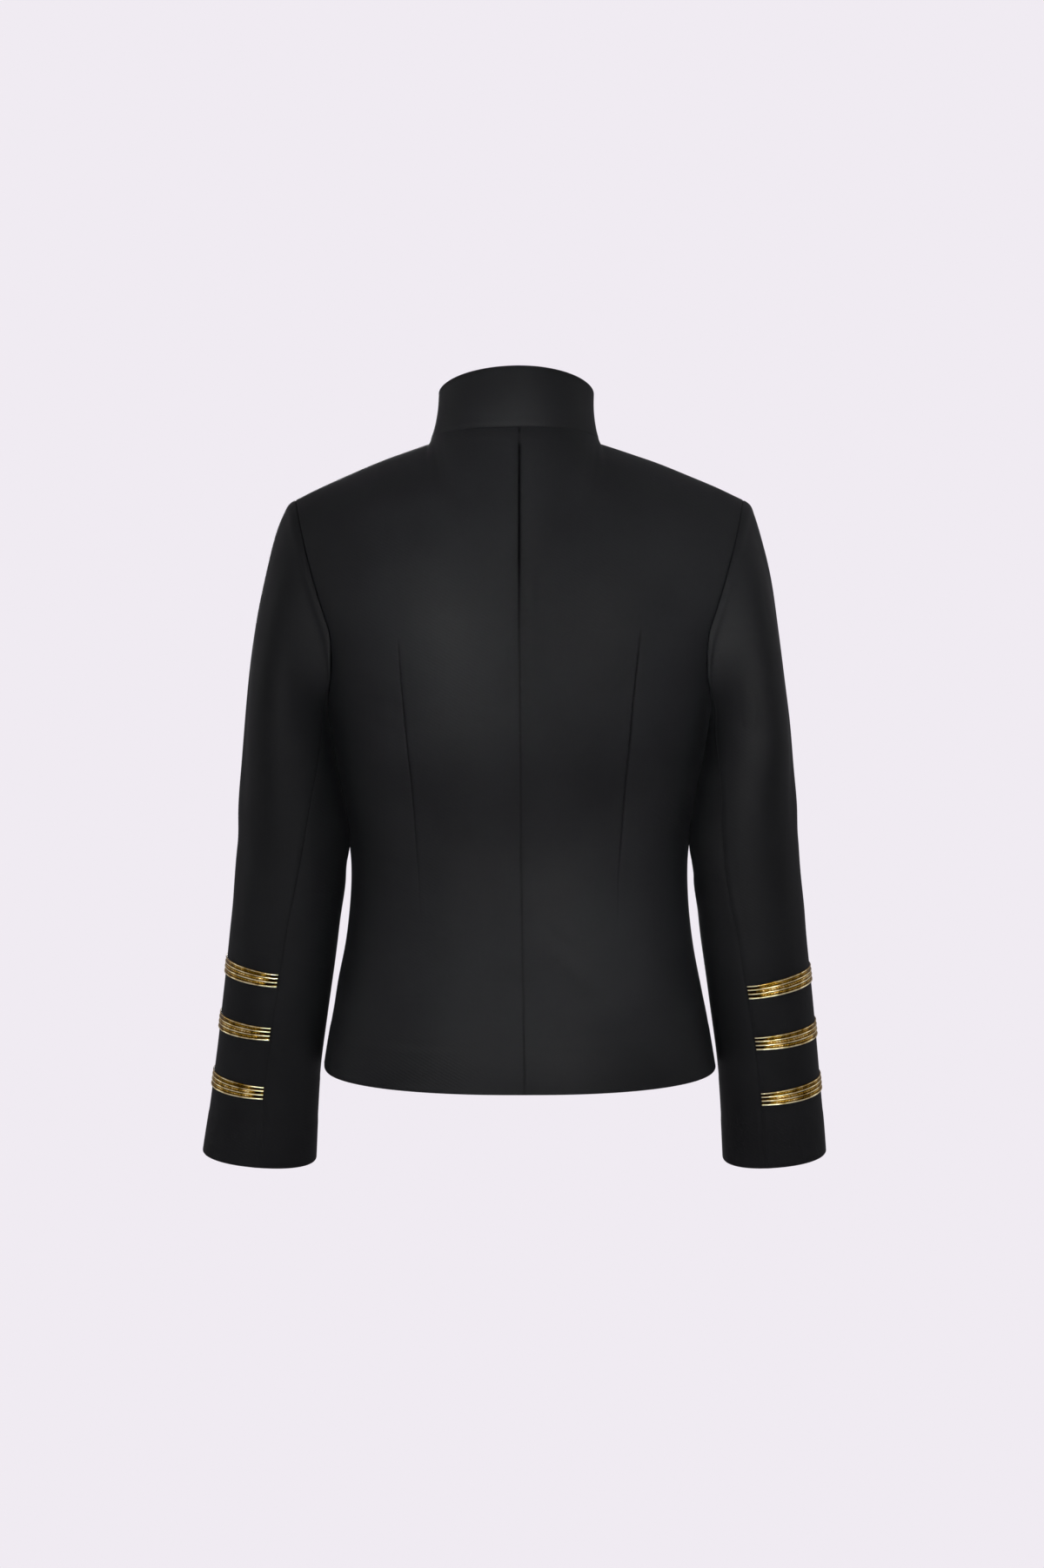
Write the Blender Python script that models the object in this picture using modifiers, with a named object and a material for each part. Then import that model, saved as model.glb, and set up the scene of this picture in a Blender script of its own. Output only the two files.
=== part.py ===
"""Military parade jacket, hip length, with a stand collar, set-in two-piece sleeves and gilt sleeve braids.

The jacket stands as it is worn, with nobody in it. All tables are in millimetres, the scene is in metres.
+X is the wearer's left, the front looks towards -Y, +Z is up. The origin is the centre of the neck
opening, at the height where the collar meets the shoulder seams.
"""

import math

import bmesh
import bpy
import numpy as np
from mathutils import Vector

MM = 0.001

# Cloth
WALL = 1.6
COLLAR_WALL = 2.8
EDGE_TRIM = 0.26
NECK_TRIM = 0.15
ARMHOLE_TRIM = 0.25
CAP_TRIM = 0.3
COLLAR_TRIM = 0.7
SEAT_TRIM = 4.2
SEAT_TRIM_START = 0.8

# Rows and columns of the pieces
HEM_ROWS = 13
NOTCH_ROWS = 5
SHOULDER_ROWS = 7
TRUNK_COLUMNS = 13
SLEEVE_ROWS = 15
CAP_ROWS = 6
HIND_STEPS = 3
FORE_STEPS = 5
ARMHOLE_STEPS = NOTCH_ROWS + SHOULDER_ROWS

# Levels and seams of the trunk
HEM_SIDE = -550.5
HEM_DROP_BACK = 15.0
HEM_DROP_FRONT = 10.5
UNDERARM = -238.0
CHEST = -168.0
BACK_NOTCH = 67.0
FRONT_NOTCH = -62.0
SHOULDER_POINT = (200.0, -5.0, -49.0)
CENTRE_LEAN_DEG = 2.1
HEM_EDGE_POWER = 2.8
SHOULDER_FALL = 0.80

# How the trunk closes over the shoulders: quickened rise, then runs at the chest line and at the top seam
RISE_POWER = 1.35
CHEST_LIFT = (1.15, 0.5)
CHEST_SPREAD = 50.0
TOP_CLOSE = (1.25, 0.4)
TOP_SPREAD = 12.0
TOP_LEVEL = {"back": 0.60, "front": 0.85}
TOP_LEVEL_OUT = 0.05
CORNER_TAPS = ((-1.0, 0.1), (-0.5, 0.24), (0.0, 0.32), (0.5, 0.24), (1.0, 0.1))
CORNER_SPREAD = 0.17
CORNER_REACH = 0.38
CORNER_POWER = 5
OVER_START = 0.2
OVER_LONG = 0.45

# Neck and collar
NECK_LEVEL = 1.0
NECK_BACK = 62.0
NECK_BACK_RISE = 7.0
NECK_FRONT = 66.0
NECK_FRONT_DROP = (18.0, 42.0)
NECK_SHARE_BACK = 0.44
NECK_SHARE_FRONT = 0.47
COLLAR_HEIGHT_BACK = 54.0
COLLAR_HEIGHT_SIDE = 44.5
COLLAR_HEIGHT_FRONT = 42.0
COLLAR_TOP_BACK = 57.0
COLLAR_TOP_FRONT = 61.0
COLLAR_COLUMNS = 30
COLLAR_ROWS = 4
COLLAR_CORNER = 9.0
COLLAR_CORNER_DROP = 0.8
COLLAR_OPEN_DEG = 1.3
COLLAR_BELLY = 1.2
COLLAR_HOLLOW = 2.0

# Front closing
LAP = 18.0
LAP_RISE = 3.0
LAP_FADE = 60.0
BUTTON_LEVELS = (-92.0, -172.0, -252.0, -332.0, -412.0, -492.0)
BUTTON_RADIUS = 9.0
BUTTON_DOME = 5.0
BUTTON_BACK = 1.2
BUTTON_STEPS = 14
BUTTON_RINGS = 8
BUTTON_LIFT = 1.55
LAP_SEARCH = (0.04, 0.16, 25)
HEIGHT_SEARCH = (0.05, 2.95, 291)

# Sleeves
BICEP = -250.0
CUFF = -636.0
CUFF_ROLL = 0.085
SLEEVE_POWER = 2.15
CAP_RISE_POWER = 1.25
HIND_TURN_BELOW = 20.0
HIND_TURN_LONG = 130.0
SLEEVE_CLEAR = 1.0
SLEEVE_PRESS = 2.0
SEAT_CLEAR = 0.6
PRESS_END = 0.42
PRESS_FADE = 0.15
HEM_REACH = 15.0
INNER_SIDE = 0.4
FORE_SEAM_DEG = -128.0

# Braids
BRAID_CLEAR = 0.35
BRAID_WALL = 0.8
BRAID_END = 0.6
SLEEVE_LEAN_DEG = 9.0


def table(columns, rows):
    """Short table as named columns, ordered by the first one."""
    names = columns.split()
    return {name: np.array([row[i] for row in rows], float) for i, name in enumerate(names)}


TRUNK = table(
    "height half_back half_front back front mid power_back power_front",
    [
        (-570, 176.5, 176.5, 120, -124, -4, 2.35, 2.25),
        (-534, 171.0, 171.0, 116, -122, -4, 2.35, 2.25),
        (-487, 162.5, 162.5, 106, -118, -4, 2.30, 2.25),
        (-440, 154.0, 154.0, 93, -113, -5, 2.25, 2.20),
        (-395, 150.0, 150.0, 84, -109, -6, 2.25, 2.20),
        (-363, 150.0, 150.0, 83, -109, -6, 2.25, 2.20),
        (-320, 155.0, 155.0, 88, -114, -5, 2.30, 2.20),
        (-280, 163.0, 163.0, 97, -123, -3, 2.40, 2.20),
        (-238, 170.0, 170.0, 105, -130, -2, 2.50, 2.20),
        (-200, 179.0, 171.0, 109, -130, -1, 2.55, 2.15),
        (-168, 188.0, 172.0, 110, -126, 0, 2.55, 2.10),
        (-140, 190.0, 172.0, 109, -119, 0, 2.55, 2.10),
    ],
)

# Fuller places and broad folds: angle, height, how far they spread each way, how far out
FORMS = {
    "back": table(
        "angle height wide tall out",
        [
            (36, -140, 17, 62, 5.0),
            (45, -480, 20, 60, 2.0),
            (48, -335, 9, 70, -2.4),
            (9, -372, 22, 20, -1.2),
            (24, -300, 10, 46, 1.3),
        ],
    ),
    "front": table(
        "angle height wide tall out",
        [(38, -212, 16, 48, 13.0), (44, -352, 9, 62, -2.2), (62, -292, 12, 34, 1.4)],
    ),
    "sleeve": table(
        "angle height wide tall out",
        [
            (38, -290, 15, 105, -2.2),
            (74, -262, 13, 84, 1.5),
            (-36, -392, 24, 17, -2.4),
            (-52, -356, 26, 19, 1.4),
        ],
    ),
}

SLEEVE = table(
    "height out mid wide deep tilt hind",
    [
        (-636, 232.5, -34, 48.7, 39, 11.0, 93),
        (-560, 225.3, -22, 46.5, 42, 10.0, 91),
        (-487, 216.0, -9, 47.5, 47, 7.5, 92),
        (-425, 208.0, 0, 48.4, 51, 4.0, 95),
        (-363, 201.8, 4, 49.5, 55, 1.5, 102),
        (-300, 203.5, 4, 44.5, 61, 0.0, 116),
        (-250, 206.0, 3, 38.0, 65, 0.0, 132),
    ],
)

# How the sleeve head rises: place on the armhole (0 underarm, 1 shoulder), lift off the sleeve, arrival
CAP = table(
    "place lift inwards across upwards",
    [
        (0.00, 1.0, 1.0, 1.0, 1.00),
        (0.25, 1.0, 1.0, 1.0, 0.90),
        (0.42, 1.1, 1.3, 1.0, 0.60),
        (0.70, 1.2, 1.4, 1.3, 0.35),
        (1.00, 1.2, 1.45, 1.0, 0.12),
    ],
)

# Sizes that differ from one side to the other
SIDES = {
    1: {"name": "left", "neck": 79.5, "collar": 72.0, "cuff_out": 4.5, "arm_out": 0.0, "hind_turn": 1.5},
    -1: {"name": "right", "neck": 71.5, "collar": 66.5, "cuff_out": -4.5, "arm_out": -4.0, "hind_turn": 15.5},
}

# Braids of each sleeve: level of the middle above the cuff edge at the hind-arm seam, rise towards the outside
BRAIDS = {
    1: table("level rise", [(67.0, 4.0), (120.5, 4.6), (167.5, 8.8)]),
    -1: table("level rise", [(61.8, 5.2), (112.2, 5.4), (157.5, 10.9)]),
}

# Braid profile across its width: place and height above the ribbon
BRAID = table(
    "across high",
    [
        (-7.2, 0.0),
        (-6.5, 0.6),
        (-5.2, 0.1),
        (-3.0, 1.2),
        (-1.2, 0.2),
        (1.6, 0.3),
        (3.4, 1.1),
        (5.2, 0.1),
        (6.5, 0.6),
        (7.2, 0.0),
    ],
)

BLACK_CLOTH = ("black wool cloth", (0.012, 0.012, 0.014), 0.78, 0.0)
GILT_BRAID = ("gilt wire braid", (0.62, 0.45, 0.17), 0.38, 1.0)
GILT_METAL = ("gilt metal", (0.68, 0.50, 0.20), 0.28, 1.0)


def hermite(u, start, start_run, end, end_run):
    """Smooth path from start to end with the given runs at both ends."""
    return (
        (2 * u**3 - 3 * u**2 + 1) * start
        + (u**3 - 2 * u**2 + u) * start_run
        + (3 * u**2 - 2 * u**3) * end
        + (u**3 - u**2) * end_run
    )


def read(tab, name, at):
    """Smooth value of a column at places of the first column."""
    places = next(iter(tab.values()))
    values = tab[name]
    step = np.diff(places)
    rise = np.diff(values) / step
    inner = (rise[:-1] * step[1:] + rise[1:] * step[:-1]) / (step[1:] + step[:-1])
    slope = np.concatenate((rise[:1], inner, rise[-1:]))
    i = np.clip(np.searchsorted(places, at) - 1, 0, len(step) - 1)
    u = np.clip((at - places[i]) / step[i], 0.0, 1.0)
    return hermite(u, values[i], slope[i] * step[i], values[i + 1], slope[i + 1] * step[i])


def ease(u, amount):
    """Even steps made shorter towards both ends."""
    return u - amount * np.sin(2 * math.pi * u) / (2 * math.pi)


def ramp(u):
    """Soft step from 0 to 1."""
    u = np.clip(u, 0.0, 1.0)
    return u * u * (3 - 2 * u)


def points(x, y, z):
    return np.stack(np.broadcast_arrays(x, y, z), axis=-1)


def swell(tag, angle, height):
    """How far the fuller places and broad folds stand out."""
    out = 0.0
    for place, level, wide, tall, high in zip(*FORMS[tag].values()):
        out = out + high * np.exp(-(((angle - place) / wide) ** 2) - ((height - level) / tall) ** 2)
    return out


def girth(tag, height):
    """Half width, depth, side line and squareness of one half of the trunk."""
    mid = read(TRUNK, "mid", height)
    deep = np.abs(read(TRUNK, tag, height) - mid)
    return read(TRUNK, "half_" + tag, height), deep, mid, read(TRUNK, "power_" + tag, height)


def trunk(tag, angle, height):
    """Place on the trunk by the angle from the centre line, in radians, and the height."""
    half, deep, mid, power = girth(tag, height)
    across = np.abs(np.sin(angle)) / half
    along = np.abs(np.cos(angle)) / deep
    reach = (across**power + along**power) ** (-1 / power)
    reach = reach + swell(tag, np.degrees(np.abs(angle)), height)
    back = 1.0 if tag == "back" else -1.0
    return points(reach * np.sin(angle), mid + back * reach * np.cos(angle), height)


def trunk_side(y, height):
    """Half width of the trunk at a depth, below the underarm."""
    out = []
    for tag in ("back", "front"):
        half, deep, mid, power = girth(tag, height)
        share = np.clip(np.abs(y - mid) / deep, 0.0, 0.999)
        out.append((y - mid, half * (1 - share**power) ** (1 / power)))
    return np.where(out[0][0] > 0, out[0][1], out[1][1])


def armhole_angle(tag, place):
    """Angle and height of the lower armhole: place 0 at the underarm, 1 at the notch."""
    turn = place * math.pi / 2
    height = UNDERARM + (CHEST - UNDERARM) * (1 - np.cos(turn))
    half, deep, mid, power = girth(tag, height)
    notch = abs(BACK_NOTCH if tag == "back" else FRONT_NOTCH)
    depth = notch * np.sin(turn)
    wide = half * (1 - (depth / deep) ** power) ** (1 / power)
    return np.arctan2(wide, depth), height


def neckline(tag, turn, side):
    """Seam of the collar: turn 0 on the centre line, a quarter turn at the shoulder seam."""
    x = SIDES[side]["neck"] * np.sin(turn)
    if tag == "back":
        rise = NECK_BACK_RISE * (1 - (1 - np.cos(turn)) ** 2)
        return points(x, NECK_BACK * np.cos(turn), NECK_LEVEL + rise)
    near, far = NECK_FRONT_DROP
    drop = near * np.cos(turn) + far * np.cos(turn) ** 2
    return points(x, -NECK_FRONT * np.cos(turn), NECK_LEVEL - drop)


def shoulder_seam(along, side):
    """Seam from the neck (0) to the shoulder point (1)."""
    neck = SIDES[side]["neck"]
    out, across, down = SHOULDER_POINT
    fall = SHOULDER_FALL * along + (1 - SHOULDER_FALL) * along**2
    return points(neck + (out - neck) * along, across * along, NECK_LEVEL + (down - NECK_LEVEL) * fall)


def top_edge(tag, side, s):
    """Top seam of a quarter: the neckline, then the shoulder seam."""
    share = NECK_SHARE_BACK if tag == "back" else NECK_SHARE_FRONT
    first = 0.0 if tag == "back" else -math.asin(LAP / SIDES[side]["neck"])
    turn = first + (math.pi / 2 - first) * np.clip(s / share, 0, 1)
    along = np.clip((s - share) / (1 - share), 0, 1)
    return np.where((s <= share)[..., None], neckline(tag, turn, side), shoulder_seam(along, side))


def panel(tag, side, s, t):
    """One quarter of the trunk: s from the centre edge to the side, t 0-1 hem to underarm,
    1-2 underarm to chest, 2-3 chest to the neckline and the shoulder seam."""
    s, t = np.broadcast_arrays(np.asarray(s, float), np.asarray(t, float))
    low = np.clip(t, 0, 1)
    arm = np.clip(t - 1, 0, 1)
    drop = HEM_DROP_BACK if tag == "back" else HEM_DROP_FRONT
    hem = HEM_SIDE - drop * (1 - np.abs(s) ** HEM_EDGE_POWER)
    end, arm_height = armhole_angle(tag, arm)
    mid_height = UNDERARM + (CHEST - UNDERARM) * arm
    height = np.where(t <= 1, hem + (UNDERARM - hem) * low, mid_height + (arm_height - mid_height) * s**2)
    end = np.where(t <= 1, math.pi / 2, end)
    if tag == "back":
        start = -side * math.radians(CENTRE_LEAN_DEG) * np.clip((height - CHEST) / (HEM_SIDE - CHEST), 0, 1)
    else:
        start = -np.arcsin(LAP / girth(tag, height)[1])
    angle = start + (end - start) * s
    flat = trunk(tag, angle, height)
    up = np.clip(t - 2, 0, 1)
    up = 1 - (1 - up) ** RISE_POWER
    # Above the chest: up to the neckline and the shoulder seam, their corner rounded below the seam
    share = NECK_SHARE_BACK if tag == "back" else NECK_SHARE_FRONT
    top = top_edge(tag, side, s)
    spread = CORNER_SPREAD * np.clip(1 - ((s - share) / CORNER_REACH) ** 2, 0, 1) ** 2
    soft = sum(weight * top_edge(tag, side, s + spread * tap) for tap, weight in CORNER_TAPS)
    top = soft + (top - soft) * (up**CORNER_POWER)[..., None]
    below = trunk(tag, angle, height - 1.0)
    rise = flat - below
    over = ramp((s - OVER_START) / OVER_LONG)
    gap = top - flat
    lift = CHEST_LIFT[0] + CHEST_LIFT[1] * over
    start_run = rise * (lift * gap[..., 2])[..., None]
    start_run[..., 0] += CHEST_SPREAD * s**3
    close = TOP_CLOSE[0] + TOP_CLOSE[1] * over
    level = TOP_LEVEL[tag] * (1 - over) + TOP_LEVEL_OUT * over
    end_run = points(TOP_SPREAD * s**3, close * gap[..., 1], level * gap[..., 2])
    upper = hermite(up[..., None], flat, start_run, top, end_run)
    place = np.where((t > 2)[..., None], upper, flat)
    if tag == "front" and side < 0:
        place[..., 1] -= LAP_RISE * ramp((LAP_FADE - place[..., 0]) / (LAP_FADE - LAP))
    return place * np.array([side, 1.0, 1.0])


def armhole(side, place):
    """Point of the armhole seam: place 0 underarm, 1 and -1 the shoulder by the back and by the front."""
    step = np.abs(place) * ARMHOLE_STEPS
    low = step / NOTCH_ROWS
    high = 1 + (step - NOTCH_ROWS) / SHOULDER_ROWS
    t = 1 + np.where(step <= NOTCH_ROWS, low, high)
    ones = np.ones_like(t)
    return np.where((place >= 0)[..., None], panel("back", side, ones, t), panel("front", side, ones, t))


def tube(side, angle, height):
    """Place on the sleeve below the armhole: angle 0 outside, a quarter turn at the back."""
    out, mid, wide, deep, tilt = (read(SLEEVE, name, height) for name in ("out", "mid", "wide", "deep", "tilt"))
    low = np.clip((BICEP - height) / (BICEP - CUFF), 0, 1)
    swing = SIDES[side]["cuff_out"] / 2 * low**4 + SIDES[side]["arm_out"] / 2 * (1 - low)
    wide = wide + swing
    out = out + swing
    tilt = np.radians(tilt)
    round_out = np.abs(np.cos(angle) / wide) ** SLEEVE_POWER + np.abs(np.sin(angle) / deep) ** SLEEVE_POWER
    reach = round_out ** (-1 / SLEEVE_POWER) + swell("sleeve", np.degrees(angle), height)
    y = mid + reach * np.sin(angle) * np.cos(tilt)
    z = height - reach * np.sin(angle) * np.sin(tilt)
    x = out + reach * np.cos(angle)
    z = z + CUFF_ROLL * low**2 * reach * np.cos(angle)
    rest = trunk_side(y, np.clip(z, HEM_SIDE - HEM_REACH, UNDERARM)) + SLEEVE_CLEAR
    push = (x + rest + np.sqrt((x - rest) ** 2 + SLEEVE_PRESS**2)) / 2
    touching = (z > HEM_SIDE - HEM_REACH) & (np.cos(angle) < INNER_SIDE)
    return points(np.where(touching, push, x), y, z)


def sleeve(piece, side, v, t):
    """Place on a sleeve piece: v across from seam to seam, t 0-1 cuff to bicep, 1-2 up to the armhole."""
    v, t = np.broadcast_arrays(np.asarray(v, float), np.asarray(t, float))
    height = CUFF + (BICEP - CUFF) * np.clip(t, 0, 1)
    turned = SIDES[side]["hind_turn"] * ramp((BICEP - HIND_TURN_BELOW - height) / HIND_TURN_LONG)
    hind = np.radians(read(SLEEVE, "hind", height) + turned)
    fore = math.radians(FORE_SEAM_DEG)
    over_steps = 2 * ARMHOLE_STEPS - HIND_STEPS - FORE_STEPS
    if piece == "top":
        angle = fore + (hind - fore) * ease(v, 0.4)
        step = v * over_steps
        head = ARMHOLE_STEPS - FORE_STEPS
        place = np.where(step <= head, -(FORE_STEPS + step), 2 * ARMHOLE_STEPS - FORE_STEPS - step)
    else:
        angle = hind + (fore + 2 * math.pi - hind) * ease(v, 0.3)
        place = HIND_STEPS - v * (HIND_STEPS + FORE_STEPS)
    place = place / ARMHOLE_STEPS
    base = tube(side, angle, height)
    up = np.clip(t - 1, 0, 1)
    up = 1 - (1 - up) ** CAP_RISE_POWER
    seat = armhole(side, place) * np.array([side, 1.0, 1.0])
    rise = base - tube(side, angle, height - 1.0)
    gap = seat - base
    near = np.abs(place)
    start_run = rise * (read(CAP, "lift", near) * gap[..., 2])[..., None]
    arrive = points(*(read(CAP, name, near) for name in ("inwards", "across", "upwards")))
    upper = hermite(up[..., None], base, start_run, seat, gap * arrive)
    rest = trunk_side(upper[..., 1], np.minimum(upper[..., 2], CHEST)) + SEAT_CLEAR
    press = (upper[..., 0] + rest + np.sqrt((upper[..., 0] - rest) ** 2 + 0.01)) / 2
    under = np.where(upper[..., 2] < CHEST, ramp((PRESS_END - near) / PRESS_FADE), 0.0)
    upper[..., 0] += (press - upper[..., 0]) * under
    return np.where((t > 1)[..., None], upper, base) * np.array([side, 1.0, 1.0])


def collar(s, t):
    """Stand collar: s around from the left front edge to the right one, t up from the neckline."""
    whole = 2 * (180 - COLLAR_OPEN_DEG)
    round_deg = np.asarray(180 - COLLAR_OPEN_DEG - whole * s)
    place = np.zeros(np.broadcast(s, t).shape + (3,))
    for side in (1, -1):
        for tag in ("back", "front"):
            turned = np.abs(round_deg)
            turn = np.radians(turned if tag == "back" else 180 - turned)
            here = ((round_deg >= 0) == (side > 0)) & ((turned <= 90) == (tag == "back"))
            foot = neckline(tag, turn, side)
            share = np.sin(turn) ** 2
            if tag == "back":
                high = COLLAR_HEIGHT_BACK + (COLLAR_HEIGHT_SIDE - COLLAR_HEIGHT_BACK) * share
                deep = COLLAR_TOP_BACK
            else:
                high = COLLAR_HEIGHT_FRONT + (COLLAR_HEIGHT_SIDE - COLLAR_HEIGHT_FRONT) * share
                deep = -COLLAR_TOP_FRONT
                edge = np.clip(1 - (turn * NECK_FRONT - 1.5) / COLLAR_CORNER, 0, 1)
                high = high - COLLAR_CORNER * (1 - np.sqrt(1 - edge**2)) * COLLAR_CORNER_DROP
            head = points(SIDES[side]["collar"] * np.sin(turn), deep * np.cos(turn), foot[..., 2] + high)
            belly = ((COLLAR_BELLY - (COLLAR_BELLY + COLLAR_HOLLOW) * share) * 4 * t * (1 - t))[..., None]
            out = points(np.sin(turn), np.sign(deep) * np.cos(turn), 0)
            full = (foot + (head - foot) * t[..., None] + belly * out) * np.array([side, 1.0, 1.0])
            place = np.where(here[..., None], full, place)
    return place


def trimmed(grid, first=0.0, last=0.0, bottom=0.0, top=0.0):
    """Rows and columns of points with the outer ones drawn back from the seams, by millimetres."""
    grid = grid.copy()

    def draw_back(edge, inner, amount):
        run = inner - edge
        return edge + run * (amount / np.linalg.norm(run, axis=-1))[..., None]

    if bottom:
        grid[0] = draw_back(grid[0], grid[1], bottom)
    if np.any(top):
        grid[-1] = draw_back(grid[-1], grid[-2], np.asarray(top))
    if np.any(first):
        grid[:, 0] = draw_back(grid[:, 0], grid[:, 1], np.asarray(first))
    if np.any(last):
        grid[:, -1] = draw_back(grid[:, -1], grid[:, -2], np.asarray(last))
    return grid


def material(name, colour, roughness, metallic):
    made = bpy.data.materials.get(name)
    if made is None:
        made = bpy.data.materials.new(name)
        made.use_nodes = True
        shader = made.node_tree.nodes["Principled BSDF"]
        shader.inputs["Base Color"].default_value = (*colour, 1.0)
        shader.inputs["Roughness"].default_value = roughness
        shader.inputs["Metallic"].default_value = metallic
        made.diffuse_color = (*colour, 1.0)
    return made


def shell(name, grid, wall, look, inwards, turned):
    """A piece of cloth: a grid drawn to its shape, thickened to one side."""
    rows, columns = grid.shape[0] - 1, grid.shape[1] - 1
    mesh = bpy.data.meshes.new(name)
    shape = bmesh.new()
    bmesh.ops.create_grid(shape, x_segments=columns, y_segments=rows, size=0.5)
    for vertex in shape.verts:
        column = round((vertex.co.x + 0.5) * columns)
        row = round((vertex.co.y + 0.5) * rows)
        vertex.co = grid[row, column] * MM
    if turned:
        bmesh.ops.reverse_faces(shape, faces=shape.faces)
    shape.to_mesh(mesh)
    shape.free()
    piece = bpy.data.objects.new(name, mesh)
    piece.data.materials.append(material(*look))
    thick = piece.modifiers.new("cloth wall", "SOLIDIFY")
    thick.thickness = wall * MM
    thick.offset = -1.0 if inwards else 1.0
    thick.use_even_offset = True
    thick.use_quality_normals = True
    JACKET.objects.link(piece)
    return piece


def build_trunk(tag, side):
    rows = HEM_ROWS + NOTCH_ROWS + SHOULDER_ROWS
    step = np.arange(rows + 1)
    t = np.where(step <= HEM_ROWS, step / HEM_ROWS, 1 + (step - HEM_ROWS) / NOTCH_ROWS)
    high = step - HEM_ROWS - NOTCH_ROWS
    t = np.where(high > 0, 2 + high / SHOULDER_ROWS, t)
    s = ease(np.linspace(0, 1, TRUNK_COLUMNS + 1), 0.35)
    grid = panel(tag, side, s[None, :], t[:, None])
    share = NECK_SHARE_BACK if tag == "back" else NECK_SHARE_FRONT
    top = np.where(s <= share, NECK_TRIM, EDGE_TRIM + ARMHOLE_TRIM)
    centre = EDGE_TRIM if tag == "back" else 0.0
    grid = trimmed(grid, first=centre, last=EDGE_TRIM, top=top)
    name = tag + "_" + SIDES[side]["name"]
    shell(name, grid, WALL, BLACK_CLOTH, True, (side > 0) == (tag == "back"))


def build_sleeve(side):
    steps = 2 * ARMHOLE_STEPS - HIND_STEPS - FORE_STEPS
    step = np.arange(SLEEVE_ROWS + CAP_ROWS + 1)
    t = np.where(step <= SLEEVE_ROWS, step / SLEEVE_ROWS, 1 + (step - SLEEVE_ROWS) / CAP_ROWS)
    for piece, columns in (("top", steps), ("under", HIND_STEPS + FORE_STEPS)):
        v = np.linspace(0, 1, columns + 1)
        grid = sleeve(piece, side, v[None, :], t[:, None])
        seam = EDGE_TRIM + SEAT_TRIM * ramp(t - SEAT_TRIM_START)
        grid = trimmed(grid, first=seam, last=seam, top=EDGE_TRIM + CAP_TRIM)
        name = "sleeve_" + piece + "_" + SIDES[side]["name"]
        shell(name, grid, WALL, BLACK_CLOTH, True, side < 0)


def build_braids(side):
    steps = 2 * ARMHOLE_STEPS - HIND_STEPS - FORE_STEPS
    v = np.linspace(0, 1, steps + 1)
    long = (BICEP - CUFF) / math.cos(math.radians(SLEEVE_LEAN_DEG))
    across = BRAID["across"]
    for number, (level, high) in enumerate(zip(*BRAIDS[side].values())):
        rise = high * np.sin(math.pi * v) ** 2
        t = (level + rise[None, :] + across[:, None]) / long
        wide = np.broadcast_to(v[None, :], t.shape)
        on = sleeve("top", side, wide, t)
        run = sleeve("top", side, wide, t + 0.002) - on
        round_run = np.gradient(on, axis=1)
        out = np.cross(round_run, run) * side
        out = out / np.linalg.norm(out, axis=-1)[..., None]
        lift = BRAID_CLEAR + BRAID["high"][:, None, None]
        grid = trimmed(on + out * lift, first=BRAID_END, last=BRAID_END)
        name = "braid_" + SIDES[side]["name"] + "_" + str(number + 1)
        shell(name, grid, BRAID_WALL, GILT_BRAID, False, side < 0)


def build_collar():
    s = np.linspace(0, 1, COLLAR_COLUMNS + 1)
    t = np.linspace(0, 1, COLLAR_ROWS + 1)
    wide, high = np.meshgrid(s, t)
    grid = collar(wide, high)
    grid = trimmed(grid, bottom=COLLAR_TRIM)
    shell("collar", grid, COLLAR_WALL, BLACK_CLOTH, True, False)


def build_buttons():
    s = np.linspace(*LAP_SEARCH)
    t = np.linspace(*HEIGHT_SEARCH)
    cloth = panel("front", -1, s[None, :], t[:, None])
    for number, level in enumerate(BUTTON_LEVELS):
        far = np.abs(cloth[..., 0]) + np.abs(cloth[..., 2] - level)
        row, column = np.unravel_index(np.argmin(far[1:-1, 1:-1]), far[1:-1, 1:-1].shape)
        up = cloth[row + 2, column + 1] - cloth[row, column + 1]
        across = cloth[row + 1, column] - cloth[row + 1, column + 2]
        facing = Vector(np.cross(across, up)).normalized()
        seat = Vector(cloth[row + 1, column + 1]) + facing * BUTTON_LIFT
        mesh = bpy.data.meshes.new("button_" + str(number + 1))
        shape = bmesh.new()
        bmesh.ops.create_uvsphere(shape, u_segments=BUTTON_STEPS, v_segments=BUTTON_RINGS, radius=1.0)
        for vertex in shape.verts:
            high = vertex.co.z
            vertex.co.x *= BUTTON_RADIUS
            vertex.co.y *= BUTTON_RADIUS
            vertex.co.z = BUTTON_DOME * high if high > 0 else BUTTON_BACK * high
        bmesh.ops.rotate(shape, verts=shape.verts, matrix=facing.to_track_quat("Z", "Y").to_matrix())
        bmesh.ops.translate(shape, verts=shape.verts, vec=seat)
        bmesh.ops.scale(shape, verts=shape.verts, vec=(MM, MM, MM))
        shape.to_mesh(mesh)
        shape.free()
        button = bpy.data.objects.new(mesh.name, mesh)
        button.data.materials.append(material(*GILT_METAL))
        JACKET.objects.link(button)


for thing in list(bpy.data.objects):
    bpy.data.objects.remove(thing, do_unlink=True)
JACKET = bpy.data.collections.new("Military parade jacket")
bpy.context.scene.collection.children.link(JACKET)

for arm in (1, -1):
    build_trunk("back", arm)
    build_trunk("front", arm)
    build_sleeve(arm)
    build_braids(arm)
build_collar()
build_buttons()
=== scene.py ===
"""Looks of the military parade jacket.

The jacket is black wool, cut in panels with set-in two-piece sleeves, and stands as it is worn with nobody
in it. Each piece of cloth is a thin shell on the form of its solid: the same tables and functions give its
place, and the seams, darts, rolled edges and creases are added across it. Sizes of the jacket are in
millimetres, and the scene, its lights and its camera in metres. +X is the wearer's left, the front looks
towards -Y, +Z is up.
"""

import math

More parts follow.
